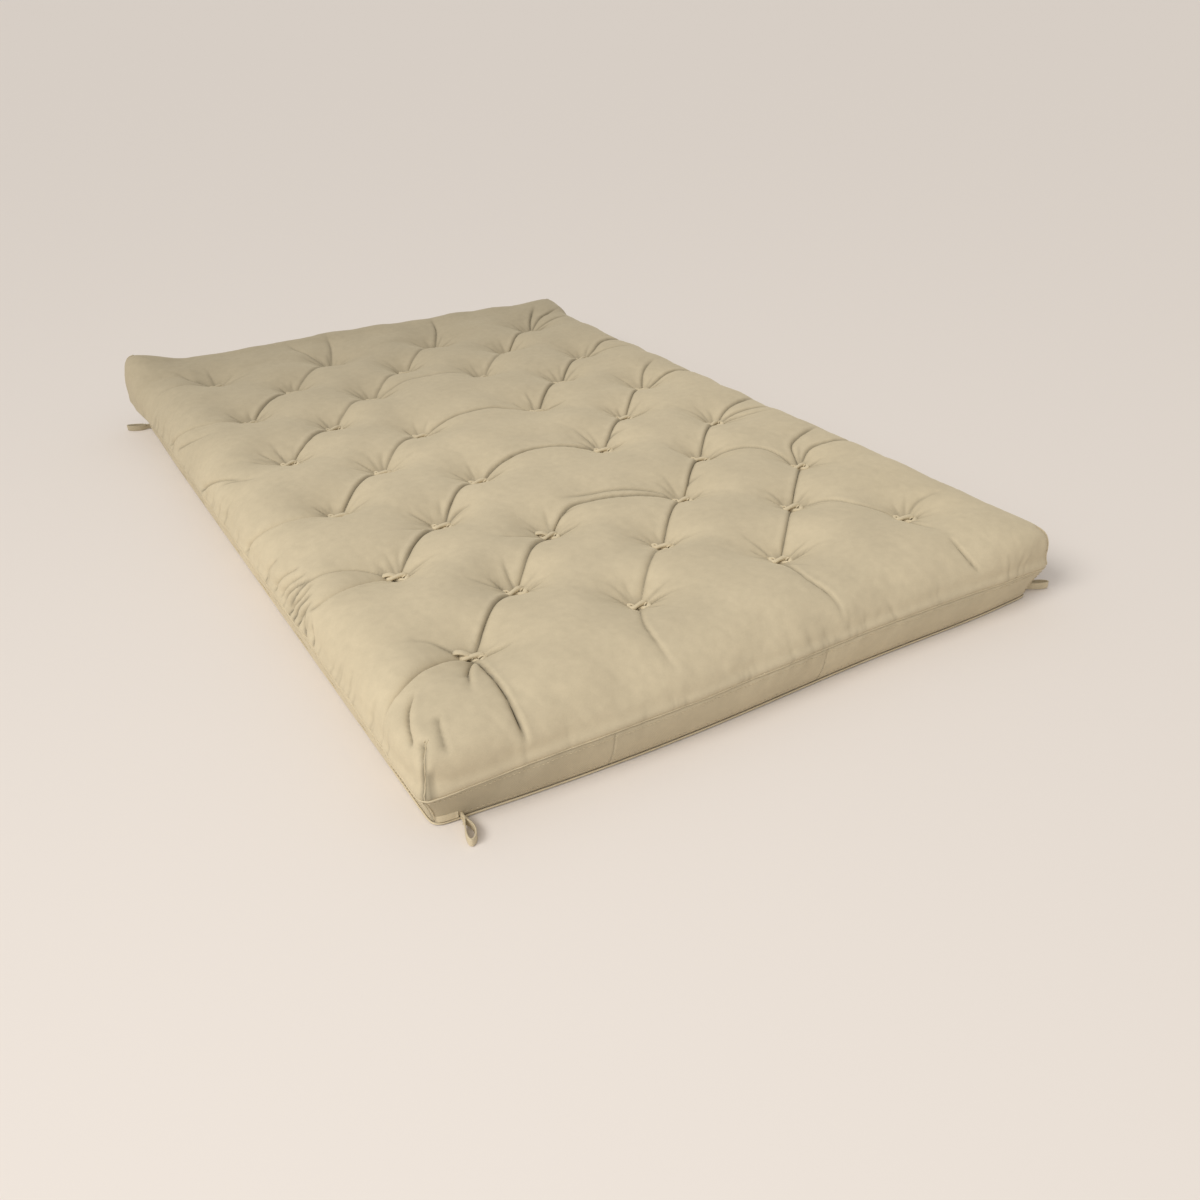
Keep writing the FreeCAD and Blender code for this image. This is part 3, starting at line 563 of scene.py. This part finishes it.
def closed_shell(s):
    """Points and faces of the coarse shell with its band and bottom, as one closed bag."""
    count, ring = len(s["points"]), s["ring"]
    inner = s["band"][1:-1]
    start = count + inner.shape[0] * ring
    points = np.concatenate([s["points"], inner.reshape(-1, 3), s["bottom"]])
    middle = count + np.arange(inner.shape[0] * ring).reshape(-1, ring)
    rows = np.concatenate([s["rows"][-1:], middle, start + s["border"][None]])
    bottom = grid_faces(s["nu"], s["nv"], start)[:, ::-1]
    return points, np.concatenate([s["faces"], strip_faces(rows), bottom])


def pin_weights(s, total):
    """How firmly each point is held: tufts, folds, seams, band and bottom against the free pillows."""
    pin = np.ones(total)
    held = np.maximum(0.95 * np.clip(1.25 * s["fold"], 0, 1), 1 - s["hold"])
    for x, y in TUFTS.values():
        r = np.hypot(*(s["flat"] - (x, y)).T)
        held = np.maximum(held, np.exp(-((r / 16) ** 4)))
    pin[: len(held)] = np.maximum(held, 0.02)
    return pin


def calmed(moved, faces, still):
    """The shifts without their short ripples. Points that are still keep their own."""
    edges = np.concatenate([faces[:, [k, (k + 1) % 4]] for k in range(4)])
    edges = np.unique(np.sort(edges, axis=1), axis=0)
    near = np.bincount(edges.ravel(), minlength=len(moved))[:, None]
    for _ in range(SIM_CALMING):
        total = np.zeros_like(moved)
        np.add.at(total, edges[:, 0], moved[edges[:, 1]])
        np.add.at(total, edges[:, 1], moved[edges[:, 0]])
        moved = np.where(still[:, None], moved, (moved + total / near) / 2)
    return moved


def simulate(s):
    """How far each point of the cover moves when the batting presses the cloth out between its tufts."""
    points, faces = closed_shell(s)
    bag = add_object("cloth_bag", new_mesh("cloth_bag", points, faces))
    group = bag.vertex_groups.new(name="pin")
    weights = np.round(pin_weights(s, len(points)), 2)
    for level in np.unique(weights):
        group.add(np.flatnonzero(weights == level).tolist(), float(level), "REPLACE")
    cloth = bag.modifiers.new("cloth", "CLOTH")
    setting = cloth.settings
    setting.quality, setting.mass = 5, 0.12
    setting.tension_stiffness = setting.compression_stiffness = 12
    setting.shear_stiffness, setting.bending_stiffness = 6, 0.35
    setting.use_pressure, setting.uniform_pressure_force = True, 4.0
    setting.shrink_min = -0.012
    setting.vertex_group_mass, setting.pin_stiffness = "pin", 8
    setting.effector_weights.gravity = 0
    cloth.collision_settings.use_collision = False
    cloth.point_cache.frame_start, cloth.point_cache.frame_end = 1, SIM_FRAMES
    for number in range(1, SIM_FRAMES + 1):
        bpy.context.scene.frame_set(number)
    graph = bpy.context.evaluated_depsgraph_get()
    result = bag.evaluated_get(graph).to_mesh()
    moved = np.empty(len(points) * 3)
    result.vertices.foreach_get("co", moved)
    moved = moved.reshape(-1, 3) / TO_METRES - points
    bag.evaluated_get(graph).to_mesh_clear()
    bpy.data.objects.remove(bag)
    bpy.context.scene.frame_set(1)
    far = np.linalg.norm(moved, axis=1)
    moved *= (SIM_CAP * np.tanh(far / SIM_CAP) / np.maximum(far, TINY))[:, None]
    return calmed(moved, faces, weights > 0.99)[: len(s["points"])]


def refine(rows, around):
    """Twice as many rows and columns, halfway points between; around closes the columns into a ring."""
    if around:
        rows = np.concatenate([rows, rows[:, :1]], axis=1)
    tall = np.empty((2 * rows.shape[0] - 1, *rows.shape[1:]))
    tall[::2], tall[1::2] = rows, (rows[1:] + rows[:-1]) / 2
    wide = np.empty((tall.shape[0], 2 * tall.shape[1] - 1, 3))
    wide[:, ::2], wide[:, 1::2] = tall, (tall[:, 1:] + tall[:, :-1]) / 2
    return wide[:, :-1] if around else wide


def add_simulation(s):
    """Moves the fine shell by what the simulation did to the coarse one."""
    coarse = build_shell(1)
    moved = simulate(coarse)
    top = moved[: coarse["top_count"]].reshape(coarse["nv"] + 1, coarse["nu"] + 1, 3)
    side = moved[coarse["rows"]]
    s["points"][: s["top_count"]] += refine(top, False).reshape(-1, 3)
    s["points"][s["top_count"]:] += refine(side, True)[1:].reshape(-1, 3)


# ---- materials
# metres from the middle to the rear edge, and the share of its brightness that the cloth keeps there; this darkening
# towards the rear is painted shade for the light's fall-off
FAR_END, REAR_SHADE_FACTOR = 0.92, 0.71


def set_inputs(node, values):
    """Sets each named input of a node to a value, or links it to another node's output."""
    for name, value in values.items():
        if isinstance(value, bpy.types.NodeSocket):
            node.id_data.links.new(value, node.inputs[name])
        else:
            node.inputs[name].default_value = value
    return node


def cloth_material(name, colour, weave=0.0012, blotch=0.05, sheen=0.25, grain=0.35, fold_shade=0.68):
    """Brushed cotton drill: a fine diagonal weave, fuzz, faint blotches, painted shade along the fold lines and painted
    shade towards the rear.
    """
    material = bpy.data.materials.new(name)
    material.use_nodes = True
    nodes, links = material.node_tree.nodes, material.node_tree.links
    shader = set_inputs(nodes["Principled BSDF"], {
        "Roughness": 0.9, "Specular IOR Level": 0.25, "Sheen Weight": sheen, "Sheen Roughness": 0.45,
        "Sheen Tint": (1.0, 0.91, 0.68, 1),
    })
    place = nodes.new("ShaderNodeTexCoord").outputs["Object"]

    def noise(scale, detail, rough=0.55):
        node = nodes.new("ShaderNodeTexNoise")
        return set_inputs(node, {"Scale": scale, "Detail": detail, "Roughness": rough, "Vector": place}).outputs["Fac"]

    def remap(source, low, high, from_low=0.3, from_high=0.7):
        ends = {"From Min": from_low, "From Max": from_high, "To Min": low, "To Max": high, "Value": source}
        return set_inputs(nodes.new("ShaderNodeMapRange"), ends).outputs["Result"]

    def combine(operation, *terms):
        """The terms multiplied or added up, from left to right."""
        total = terms[0]
        for term in terms[1:]:
            node = nodes.new("ShaderNodeMath")
            node.operation = operation
            total = set_inputs(node, {0: total, 1: term}).outputs[0]
        return total

    wave = nodes.new("ShaderNodeTexWave")
    wave.bands_direction = "DIAGONAL"
    set_inputs(wave, {"Scale": 0.314 / weave, "Distortion": 1.2, "Detail": 2, "Detail Scale": 2, "Vector": place})
    fold = nodes.new("ShaderNodeAttribute")
    fold.attribute_name = "fold"
    axes = set_inputs(nodes.new("ShaderNodeSeparateXYZ"), {"Vector": place})
    shade = combine(
        "MULTIPLY",
        remap(noise(8, 3), 1 - blotch, 1 + blotch),
        remap(noise(70, 4), 0.965, 1.035),
        remap(noise(900, 2), 0.965, 1.035),
        remap(wave.outputs["Fac"], 0.965, 1.02, 0.0, 1.0),
        # painted shade in the creases and dimples, read from the fold attribute
        remap(fold.outputs["Fac"], 1.0, 1 - fold_shade, 0.0, 1.0),
        # painted shade: the cloth is darker towards the rear edge, for the light's fall-off
        remap(axes.outputs["Y"], 1.0, REAR_SHADE_FACTOR, 0.0, FAR_END),
    )
    tint = nodes.new("ShaderNodeVectorMath")
    tint.operation = "SCALE"
    set_inputs(tint, {0: colour, "Scale": shade})
    height = combine(
        "ADD",
        combine("MULTIPLY", wave.outputs["Fac"], 0.35),
        combine("MULTIPLY", noise(420, 3, 0.7), 0.5),
        combine("MULTIPLY", noise(60, 3, 0.6), 1.6),
    )
    relief = nodes.new("ShaderNodeBump")
    set_inputs(relief, {"Strength": grain, "Distance": 0.0007, "Height": height})
    links.new(tint.outputs[0], shader.inputs["Base Color"])
    links.new(relief.outputs["Normal"], shader.inputs["Normal"])
    return material


def khaki(factor):
    """The cover's colour, lighter or darker by a factor."""
    return tuple(factor * c for c in (0.575, 0.492, 0.342))


cover_cloth = cloth_material("cover_cotton_drill", khaki(1))
band_cloth = cloth_material("band_cotton_drill", khaki(0.98), blotch=0.06)
seam_cloth = cloth_material("seam_piping_cotton", khaki(1.06), weave=0.0009, sheen=0.3)
cord_cloth = cloth_material("tuft_cord_cotton", khaki(1.12), weave=0.0016, grain=0.7)
tape_cloth = cloth_material("loop_tape_twill", khaki(1.05), weave=0.0018, grain=0.6)
batting_cloth = cloth_material("carded_cotton", (0.80, 0.77, 0.70), weave=0.006, blotch=0.04, grain=1.0, fold_shade=0)


# ---- tubes, stitches
def frames_along(path, closed, up):
    """Two unit vectors across a path at each of its points."""
    tangent = unit(np.roll(path, -1, axis=0) - np.roll(path, 1, axis=0) if closed else np.gradient(path, axis=0))
    side = unit(np.cross(tangent, up))
    return side, np.cross(side, tangent)


def tube(path, wide, high=None, sides=8, closed=False, up=(0, 0, 1), exponent=1.0):
    """Points and faces of a tube round a path; wide and high are half sizes, one for all or one each."""
    sizes = (wide, wide if high is None else high)
    wide, high = (np.broadcast_to(np.asarray(size, float), len(path))[:, None, None] for size in sizes)
    side, top = frames_along(path, closed, up)
    angle = np.arange(sides) * 2 * math.pi / sides
    c, s = np.cos(angle), np.sin(angle)
    c, s = np.sign(c) * np.abs(c) ** exponent, np.sign(s) * np.abs(s) ** exponent
    points = path[:, None] + wide * side[:, None] * c[:, None] + high * top[:, None] * s[:, None]
    index = np.arange(len(path) * sides).reshape(len(path), sides)
    rows = np.concatenate([index, index[:1]]) if closed else index
    faces = strip_faces(rows)
    points = points.reshape(-1, 3)
    if not closed:
        first, last = index[0], index[-1]
        near_tip, far_tip = (np.full(sides, len(points) + k) for k in range(2))
        points = np.concatenate([points, path[:1], path[-1:]])
        cap = np.stack([np.roll(first, -1), first, near_tip, near_tip], axis=1)
        cup = np.stack([last, np.roll(last, -1), far_tip, far_tip], axis=1)
        faces = np.concatenate([faces, cap, cup])
    return points, faces


class Parts:
    """Several bits of mesh gathered into one piece; a quad whose last two corners agree is a triangle."""

    def __init__(self):
        self.points, self.faces, self.count = [], [], 0

    def add(self, points, faces):
        self.points.append(points)
        self.faces.append(faces + self.count)
        self.count += len(points)

    def build(self, name, material, nodes=(), body="mattress"):
        points, faces = np.concatenate(self.points), np.concatenate(self.faces)
        mesh = bpy.data.meshes.new(name)
        corners = [tuple(f[:3]) if f[2] == f[3] else tuple(f) for f in faces.tolist()]
        mesh.from_pydata((points * TO_METRES).tolist(), [], corners)
        add_piece(mesh, material, nodes, body)


def add_stitches(parts, path, outward, pitch=7.0, length=4.4, radius=0.55, closed=True):
    """A row of separate stitches, each a small rounded bar that dips into the cloth at both ends."""
    if closed:
        path, outward = np.concatenate([path, path[:1]]), np.concatenate([outward, outward[:1]])
    run = np.concatenate([[0], np.cumsum(np.linalg.norm(np.diff(path, axis=0), axis=1))])
    share = np.linspace(-0.5, 0.5, 5)
    for middle in np.arange(pitch / 2, run[-1] - pitch / 2, pitch):
        at = middle + share * length
        line = np.stack([np.interp(at, run, path[:, k]) for k in range(3)], axis=1)
        out = np.array([np.interp(middle, run, outward[:, k]) for k in range(3)])
        line = line + out * (0.45 - 3.2 * share[:, None] ** 2)
        parts.add(*tube(line, radius * (1 - 1.6 * share**2), sides=5, up=out))


# ---- the cover, band and bottom
fine = build_shell(2)
add_simulation(fine)
points, rows, outward = fine["points"], fine["rows"], fine["outward"]
band, nu, nv, ring = fine["band"], fine["nu"], fine["nv"], fine["ring"]

# the cover's lower edge is turned in behind the band
count = len(points)
seam_row = points[rows[-1]]
turned = np.concatenate([seam_row - 2.0 * outward + [0, 0, 0.6], seam_row - 9.0 * outward + [0, 0, 1.6]])
turned_rows = np.stack([rows[-1], count + np.arange(ring), count + ring + np.arange(ring)])
cover_faces = np.concatenate([fine["faces"], strip_faces(turned_rows)])
fold = np.concatenate([fine["fold"], np.zeros(2 * ring)])
cover_mesh = new_mesh("upper_cover_cloth", np.concatenate([points, turned]), cover_faces, fold)
add_piece(cover_mesh, cover_cloth, ["upper_cover"])


def band_strip(place, first, last):
    """One cloth strip of the band, from one upright seam's column to the next, with its edges turned in."""
    columns = np.arange(first, last + 1) % ring
    cloth, out = band[:, columns], outward[columns]
    top = cloth[:1] - 8.0 * out - [0, 0, 1.6]
    edge = cloth[:1] - 1.6 * out - [0, 0, 0.5]
    foot = cloth[-1:] - 7.0 * out + [0, 0, 0.8]
    cloth = np.concatenate([top, edge, cloth[1:], foot])
    ends = [cloth[:, :1] - 6.0 * out[:1], cloth[:, -1:] - 6.0 * out[-1:]]
    cloth = np.concatenate([ends[0], cloth, ends[1]], axis=1)
    index = np.arange(cloth.shape[0] * cloth.shape[1]).reshape(cloth.shape[:2])
    # painted shade: the strip is darker at its turned-in ends by the upright seams and, along the front, towards the
    # front left corner
    share = np.clip(np.abs(np.linspace(-1, 1, len(columns) + 2)) * 40 - 39, 0, 1)
    painted_corner_shade = smooth((-150 - cloth[:, :, 0]) / 350) * (cloth[:, :, 1] < -800)
    shade = (0.35 * share + 0.28 * painted_corner_shade).ravel()
    mesh = new_mesh(f"band_strip_{place}", cloth.reshape(-1, 3), strip_faces(index, closed=False), shade)
    add_piece(mesh, band_cloth, [f"band_{place}"])


def fine_column(x):
    """The column of the fine grid, and so of the front edge, that is nearest to x."""
    return int(round((x + REACH_U) / CELL * 2))


CORNER_COLUMNS = {"front_left": 0, "front_right": nu, "rear_right": nu + nv, "rear_left": 2 * nu + nv}
# the upright seams, round from the front left corner
STRIP_ENDS = [0, fine_column(-317), fine_column(70), nu, nu + nv, 2 * nu + nv, ring]
STRIPS = ["front_left", "front_closing", "front_right", "right", "rear", "left"]
for place, first, last in zip(STRIPS, STRIP_ENDS, STRIP_ENDS[1:]):
    band_strip(place, first, last)

under = fine["bottom"].reshape(nv + 1, nu + 1, 3)[::2, ::2]
panel_mesh = new_mesh("bottom_panel_cloth", under.reshape(-1, 3), grid_faces(nu // 2, nv // 2)[:, ::-1])
panel = add_piece(panel_mesh, band_cloth, ["bottom_panel"])

# ---- seams
run = np.arange(ring) * CELL / 2
ripple = 0.5 * np.sin(run / 5.3 + 1.7 * np.sin(run / 61)) + 0.5 * np.sin(run / 17)
welt = Parts()
welt_path = seam_row + outward * (0.3 + 0.2 * ripple[:, None])
welt.add(*tube(welt_path, 1.0 + 0.15 * ripple, 1.2 + 0.2 * ripple, sides=8, closed=True))
add_stitches(welt, band[2] + outward * 0.2, outward)
welt.build("horizontal_seam_welt", seam_cloth, ["horizontal_seam"])

piping = Parts()
piping_path = band[-1] + outward * 1.0 + np.array([0, 0, 1.0])
piping_path[:, 2] = np.maximum(piping_path[:, 2] - 3.2, 2.2)
piping.add(*tube(piping_path, 1.5 + 0.1 * ripple, sides=8, closed=True))
add_stitches(piping, band[-3] + outward * 0.2, outward, pitch=8.0)
piping.build("bottom_edge_piping", seam_cloth, ["bottom_piping"])


def corner_seam(node, path, out):
    """A raised seam down a corner, with a line of stitches along one side."""
    parts = Parts()
    across = unit(np.cross(out, np.array([0, 0, 1.0])))
    wobble = 0.4 * np.sin(np.arange(len(path)) * 1.9)[:, None]
    ease = np.sin(math.pi * np.linspace(0.04, 0.96, len(path))) ** 0.4
    ridge = path + out * (0.5 * ease[:, None]) + across * wobble
    parts.add(*tube(ridge, 1.2 * ease, 1.8 * ease, sides=8, up=out.mean(0)))
    add_stitches(parts, path + across * 4.5 + out * 0.3, out, pitch=6.5, closed=False)
    parts.build(f"{node}_ridge", seam_cloth, [node])


all_normals = vertex_normals(points, fine["faces"])
top_grid, top_normals = (values[: fine["top_count"]].reshape(nv + 1, nu + 1, 3) for values in (points, all_normals))
for corner, column in CORNER_COLUMNS.items():
    right, rear = "right" in corner, "rear" in corner
    steps = np.arange(5, 0, -1)
    i = nu - steps if right else steps
    j = nv - steps if rear else steps
    upper_path = np.concatenate([top_grid[j, i], points[rows[:, column]]])
    upper_out = np.concatenate([top_normals[j, i], all_normals[rows[:, column]]])
    corner_seam(f"upper_corner_seam_{corner}", upper_path, upper_out)
    lower_out = np.repeat(outward[column][None], len(band) - 3, axis=0)
    corner_seam(f"band_corner_seam_{corner}", band[1:-2, column], lower_out)


# ---- tufts
def add_knot(parts, at, turn, size, draws):
    """A cord tied twice over itself, lying flat: two lobes that cross in the middle, and two short tails."""
    t = np.linspace(0, 2 * math.pi, 49)[:-1]
    x = 17.0 * np.sin(t) * (1 + 0.12 * np.cos(2 * t + turn))
    y = 6.0 * np.sin(2 * t) + 1.2 * np.sin(3 * t + turn)
    z = 2.4 * np.cos(t) + 1.0 * np.cos(3 * t)
    c, s = math.cos(turn), math.sin(turn)
    line = np.stack([x * c - y * s, x * s + y * c, z], axis=1) * size
    thick = 4.0 * size * (1 + 0.12 * np.sin(5 * t + turn))
    parts.add(*tube(at + line, thick, thick * 0.85, sides=9, closed=True))
    for side in (-1, 1):
        length = draws.uniform(4, 8) * size
        k = np.linspace(0, 1, 6)[:, None]
        start = np.array([side * 7 * c, side * 7 * s, 0.5]) * size
        out = np.array([side * math.cos(turn + 0.5 * side), side * math.sin(turn + 0.5 * side), 0.1])
        rise = np.array([0, 0, 1.0]) * (3 * np.sin(math.pi * k) - 1.5 * k) * size
        tail = at + start + out * (length + 5) * k + rise
        parts.add(*tube(tail, 2.0 * size * (1 - 0.35 * k[:, 0]), 1.5 * size * (1 - 0.3 * k[:, 0]), sides=7))


def cover_point(x, y):
    """The point of the finished cover whose cloth coordinates are nearest to x, y."""
    return top_grid[int(round((y + REACH_V) / CELL * 2)), fine_column(x)]


# tufts whose cord end lies out as a strap up the side of the dimple, and how far it reaches
STRAPS = {"A1": 29, "C1": 26, "C2": 27}
tuft_draws = np.random.default_rng(SEED + 2)
for row in ROW_NAMES:
    parts = Parts()
    for tuft, (x, y) in TUFTS.items():
        if tuft[0] != row:
            continue
        seat = cover_point(x, y)
        turn, size = tuft_draws.uniform(-0.8, -0.15), tuft_draws.uniform(1.0, 1.2)
        add_knot(parts, seat + [0, 0, 8.2], turn, size, tuft_draws)
        base = np.array([x, y, FLOOR_GAP + BOTTOM_SEAT_DEPTH])
        add_knot(parts, base - [0, 0, 4.6], turn + 1.1, 0.8, tuft_draws)
        cord = np.linspace(base + [0, 0, -3.0], seat + [0, 0, 3.0], 12)
        parts.add(*tube(cord, 1.9, sides=8, up=(1, 0, 0)))
        if tuft in STRAPS:
            out = STRAPS[tuft] * np.array([-0.9, 0.44])
            tip = cover_point(x + out[0], y + out[1]) + [0, 0, 1.5]
            t = np.linspace(0, 1, 9)[:, None]
            strap = (1 - t) * (seat + [0, 0, 9.5]) + t * tip + [0, 0, 4.0] * np.sin(math.pi * t)
            parts.add(*tube(strap, 5.4, 2.2, sides=12, exponent=0.7))
    parts.build(f"tuft_row_{row.lower()}_knots", cord_cloth, [f"tuft_row_{row.lower()}"])


# ---- batting
def height_below(surface, x, y, cell=8.0, spread=2):
    """The lowest height that a surface reaches close to each place x, y."""
    low, shape = np.array([-640.0, -960.0]), (160, 240)

    def cell_of(places):
        at = np.clip(((places - low) / cell).astype(int), 0, np.array(shape) - 1)
        return at[:, 0], at[:, 1]

    field = np.full(shape, 400.0)
    np.minimum.at(field, cell_of(surface[:, :2]), surface[:, 2])
    for _ in range(spread):
        for axis in (0, 1):
            field = np.minimum(field, np.minimum(np.roll(field, 1, axis), np.roll(field, -1, axis)))
    return field[cell_of(np.stack([x, y], axis=1))]


LAYERS, LAYER_GAP = 6, 0.5
# every third point of the coarse grid, and its last one
pick_u, pick_v = (np.append(np.arange(0, 2 * count, 3), 2 * count) for count in (GRID_U, GRID_V))
lay_u, lay_v = (grid[np.ix_(pick_v, pick_u)].ravel() for grid in cloth_points(1)[0][:2])
lay_share = np.maximum(*past_flat(lay_u, lay_v)) / ROLL


def batting_level(share):
    """Points of the surface at one share of the batting's depth."""
    inset = 10 + 20 * (1 - share) ** 1.2
    x, y = plan(lay_u, lay_v, lay_share, inset)
    low = FLOOR_GAP + 2.5 + 0 * x
    for tuft_x, tuft_y in TUFTS.values():
        low += (BOTTOM_SEAT_DEPTH + 1) * np.exp(-(np.hypot(x - tuft_x, y - tuft_y) / 34) ** 1.3)
    low += 8 * smooth((lay_share - 0.75) / 0.25) ** 2
    high = height_below(points, x, y) - 3.0
    return np.stack([x, y, low + (high - low) * share], axis=1)


lay_nu, lay_nv, total = len(pick_u) - 1, len(pick_v) - 1, len(lay_u)
index = np.arange(total).reshape(lay_nv + 1, lay_nu + 1)
border = np.concatenate([index[0, :-1], index[:-1, -1], index[-1, :0:-1], index[:0:-1, 0]])
lay_sides = strip_faces(np.stack([border + total, border]))
lay_faces = [grid_faces(lay_nu, lay_nv, total), grid_faces(lay_nu, lay_nv)[:, ::-1], lay_sides]
for layer in range(LAYERS):
    lower, upper = batting_level(layer / LAYERS), batting_level((layer + 1) / LAYERS)
    upper[:, 2] = np.maximum(upper[:, 2] - LAYER_GAP, lower[:, 2] + 0.6)
    node = f"batting_layer_{layer + 1}"
    fleece = new_mesh(f"{node}_cotton", np.concatenate([lower, upper]), np.concatenate(lay_faces))
    add_piece(fleece, batting_cloth, [node])


# ---- corner loops
LOOP_REACH, LOOP_HALF_WIDTH = 42.0, 8.6
TAPE_HALF_THICKNESS, TAPE_HALF_WIDTH = 0.95, 6.2


def tape_loop(corner):
    """A tape loop that stands on its edge: both ends are stitched into the corner and the far end is round."""
    joint = next(j for j in frame["joints"] if j["child"] == f"loop_{corner}")
    hinge, aside = np.array(joint["pos_m"]) / TO_METRES, np.array(joint["axis"])
    away, up = np.cross(aside, [0, 0, -1.0]), np.array([0, 0, 1.0])
    if away @ hinge < 0:
        away = -away
    t = np.linspace(0, 2 * math.pi, 61)[:-1]
    reach = LOOP_REACH / 2 * (1 - np.cos(t)) - 1.5
    swell = LOOP_HALF_WIDTH * np.sin(t) * np.abs(np.sin(t / 2)) ** 0.8 * (1 + 0.10 * np.cos(t))
    rise = 0.5 * np.sin(t) + 0.35 * np.sin(2 * t + 0.6)
    to_corner = np.sign(hinge) * np.abs(aside) * [1, 1, 0]
    lean = 9.0 * (reach / LOOP_REACH) ** 2
    path = hinge + reach[:, None] * away + swell[:, None] * aside + rise[:, None] * up + lean[:, None] * to_corner
    loop = Parts()
    loop.add(*tube(path, TAPE_HALF_THICKNESS, TAPE_HALF_WIDTH, sides=16, closed=True, exponent=0.55))
    for side in (-1, 1):
        selvedge = path[8:-8] + up * side * (TAPE_HALF_WIDTH - 0.4)
        loop.add(*tube(selvedge, 1.15, 0.7, sides=6))
    node = f"corner_loop_{corner}"
    loop.build(f"{node}_tape", tape_cloth, [node], f"loop_{corner}")
    # its root stays on the mattress: a strip along the band's foot from the corner, a stem and six tack stitches
    root = Parts()
    k = np.linspace(0, 1, 8)[:, None]
    stem = hinge + away * (-17 + 18 * k) + up * 0.4 * np.sin(math.pi * k)
    corner_column = CORNER_COLUMNS[corner]
    nearest = np.argmin(np.linalg.norm(band[-1, :, :2] - hinge[:2], axis=1))
    steps = (nearest - corner_column + ring // 2) % ring - ring // 2
    columns = (corner_column + np.arange(0, steps, np.sign(steps))) % ring
    strip = band[-1, columns] + 2.4 * outward[columns] + [0, 0, 6.5]
    root.add(*tube(strip, TAPE_HALF_THICKNESS, TAPE_HALF_WIDTH - 0.8, sides=16, exponent=0.5))
    root.add(*tube(stem, 1.9, TAPE_HALF_WIDTH - 0.3, sides=16, exponent=0.5))
    for side in (-1, 1):
        for step in range(3):
            tack = hinge + away * (-2.5 - 2.2 * step) + side * 1.9 * aside + up * np.linspace(-4, 4, 5)[:, None]
            root.add(*tube(tack, 0.5, sides=6, up=(1, 0, 0)))
    root.build(f"{node}_root", tape_cloth)


for corner in CORNER_COLUMNS:
    tape_loop(corner)

# ---- floor, light and camera
FLOOR_REACH = 400  # metres
floor_material = bpy.data.materials.new("studio_floor")
floor_material.use_nodes = True
floor_look = {"Base Color": (0.80, 0.745, 0.70, 1), "Roughness": 0.95}
set_inputs(floor_material.node_tree.nodes["Principled BSDF"], floor_look)
floor_mesh = bpy.data.meshes.new("studio_floor")
floor_corners = [(x * FLOOR_REACH, y * FLOOR_REACH, 0) for x, y in ((-1, -1), (1, -1), (1, 1), (-1, 1))]
floor_mesh.from_pydata(floor_corners, [], [(0, 1, 2, 3)])
floor_mesh.materials.append(floor_material)
floor = add_object("studio_floor", floor_mesh)

world = bpy.data.worlds.new("studio")
world.use_nodes = True
set_inputs(world.node_tree.nodes["Background"], {"Color": (0.84, 0.81, 0.775, 1), "Strength": 0.66})
bpy.context.scene.world = world


def add_light(name, kind, place, target, power, colour):
    """A light of the given kind that points from its place to its target."""
    data = bpy.data.lights.new(name, kind)
    data.energy, data.color = power, colour
    light = add_object(name, data)
    light.location = place
    light.rotation_euler = (Vector(target) - Vector(place)).to_track_quat("-Z", "Y").to_euler()
    return data


# a broad, even light like a soft box far away, and a nearer one at the front left that falls off to the far end
add_light("key_light", "SUN", (-2.6, -0.3, 2.2), (0, 0, 0), 1.45, (1.0, 0.98, 0.94)).angle = math.radians(24)
add_light("near_light", "AREA", (-2.4, -2.5, 2.3), (-0.1, -0.5, 0.1), 31, (1.0, 0.98, 0.95)).size = 2.0

# the camera of the photo, in metres and degrees
CAMERA_PLACE, YAW, PITCH_DOWN, ROLL_ANGLE = (-0.954, -1.951, 0.972), -30.944, 29.708, -0.868
view_data = bpy.data.cameras.new("view")
view_data.sensor_width, view_data.lens = 36.0, 32.62
view_data.clip_start, view_data.clip_end = 0.05, 2000
camera = add_object("view", view_data)
yaw, pitch, roll = (math.radians(angle) for angle in (YAW, PITCH_DOWN, ROLL_ANGLE))
ahead = Vector((-math.sin(yaw) * math.cos(pitch), math.cos(yaw) * math.cos(pitch), -math.sin(pitch)))
right = Vector((math.cos(yaw), math.sin(yaw), 0))
above = right.cross(ahead)
right, above = math.cos(roll) * right + math.sin(roll) * above, math.cos(roll) * above - math.sin(roll) * right
axes = Matrix((right, above, -ahead)).transposed().to_4x4()
camera.matrix_world = Matrix.Translation(CAMERA_PLACE) @ axes
bpy.context.scene.camera = camera
bpy.context.scene.view_settings.view_transform = "Standard"
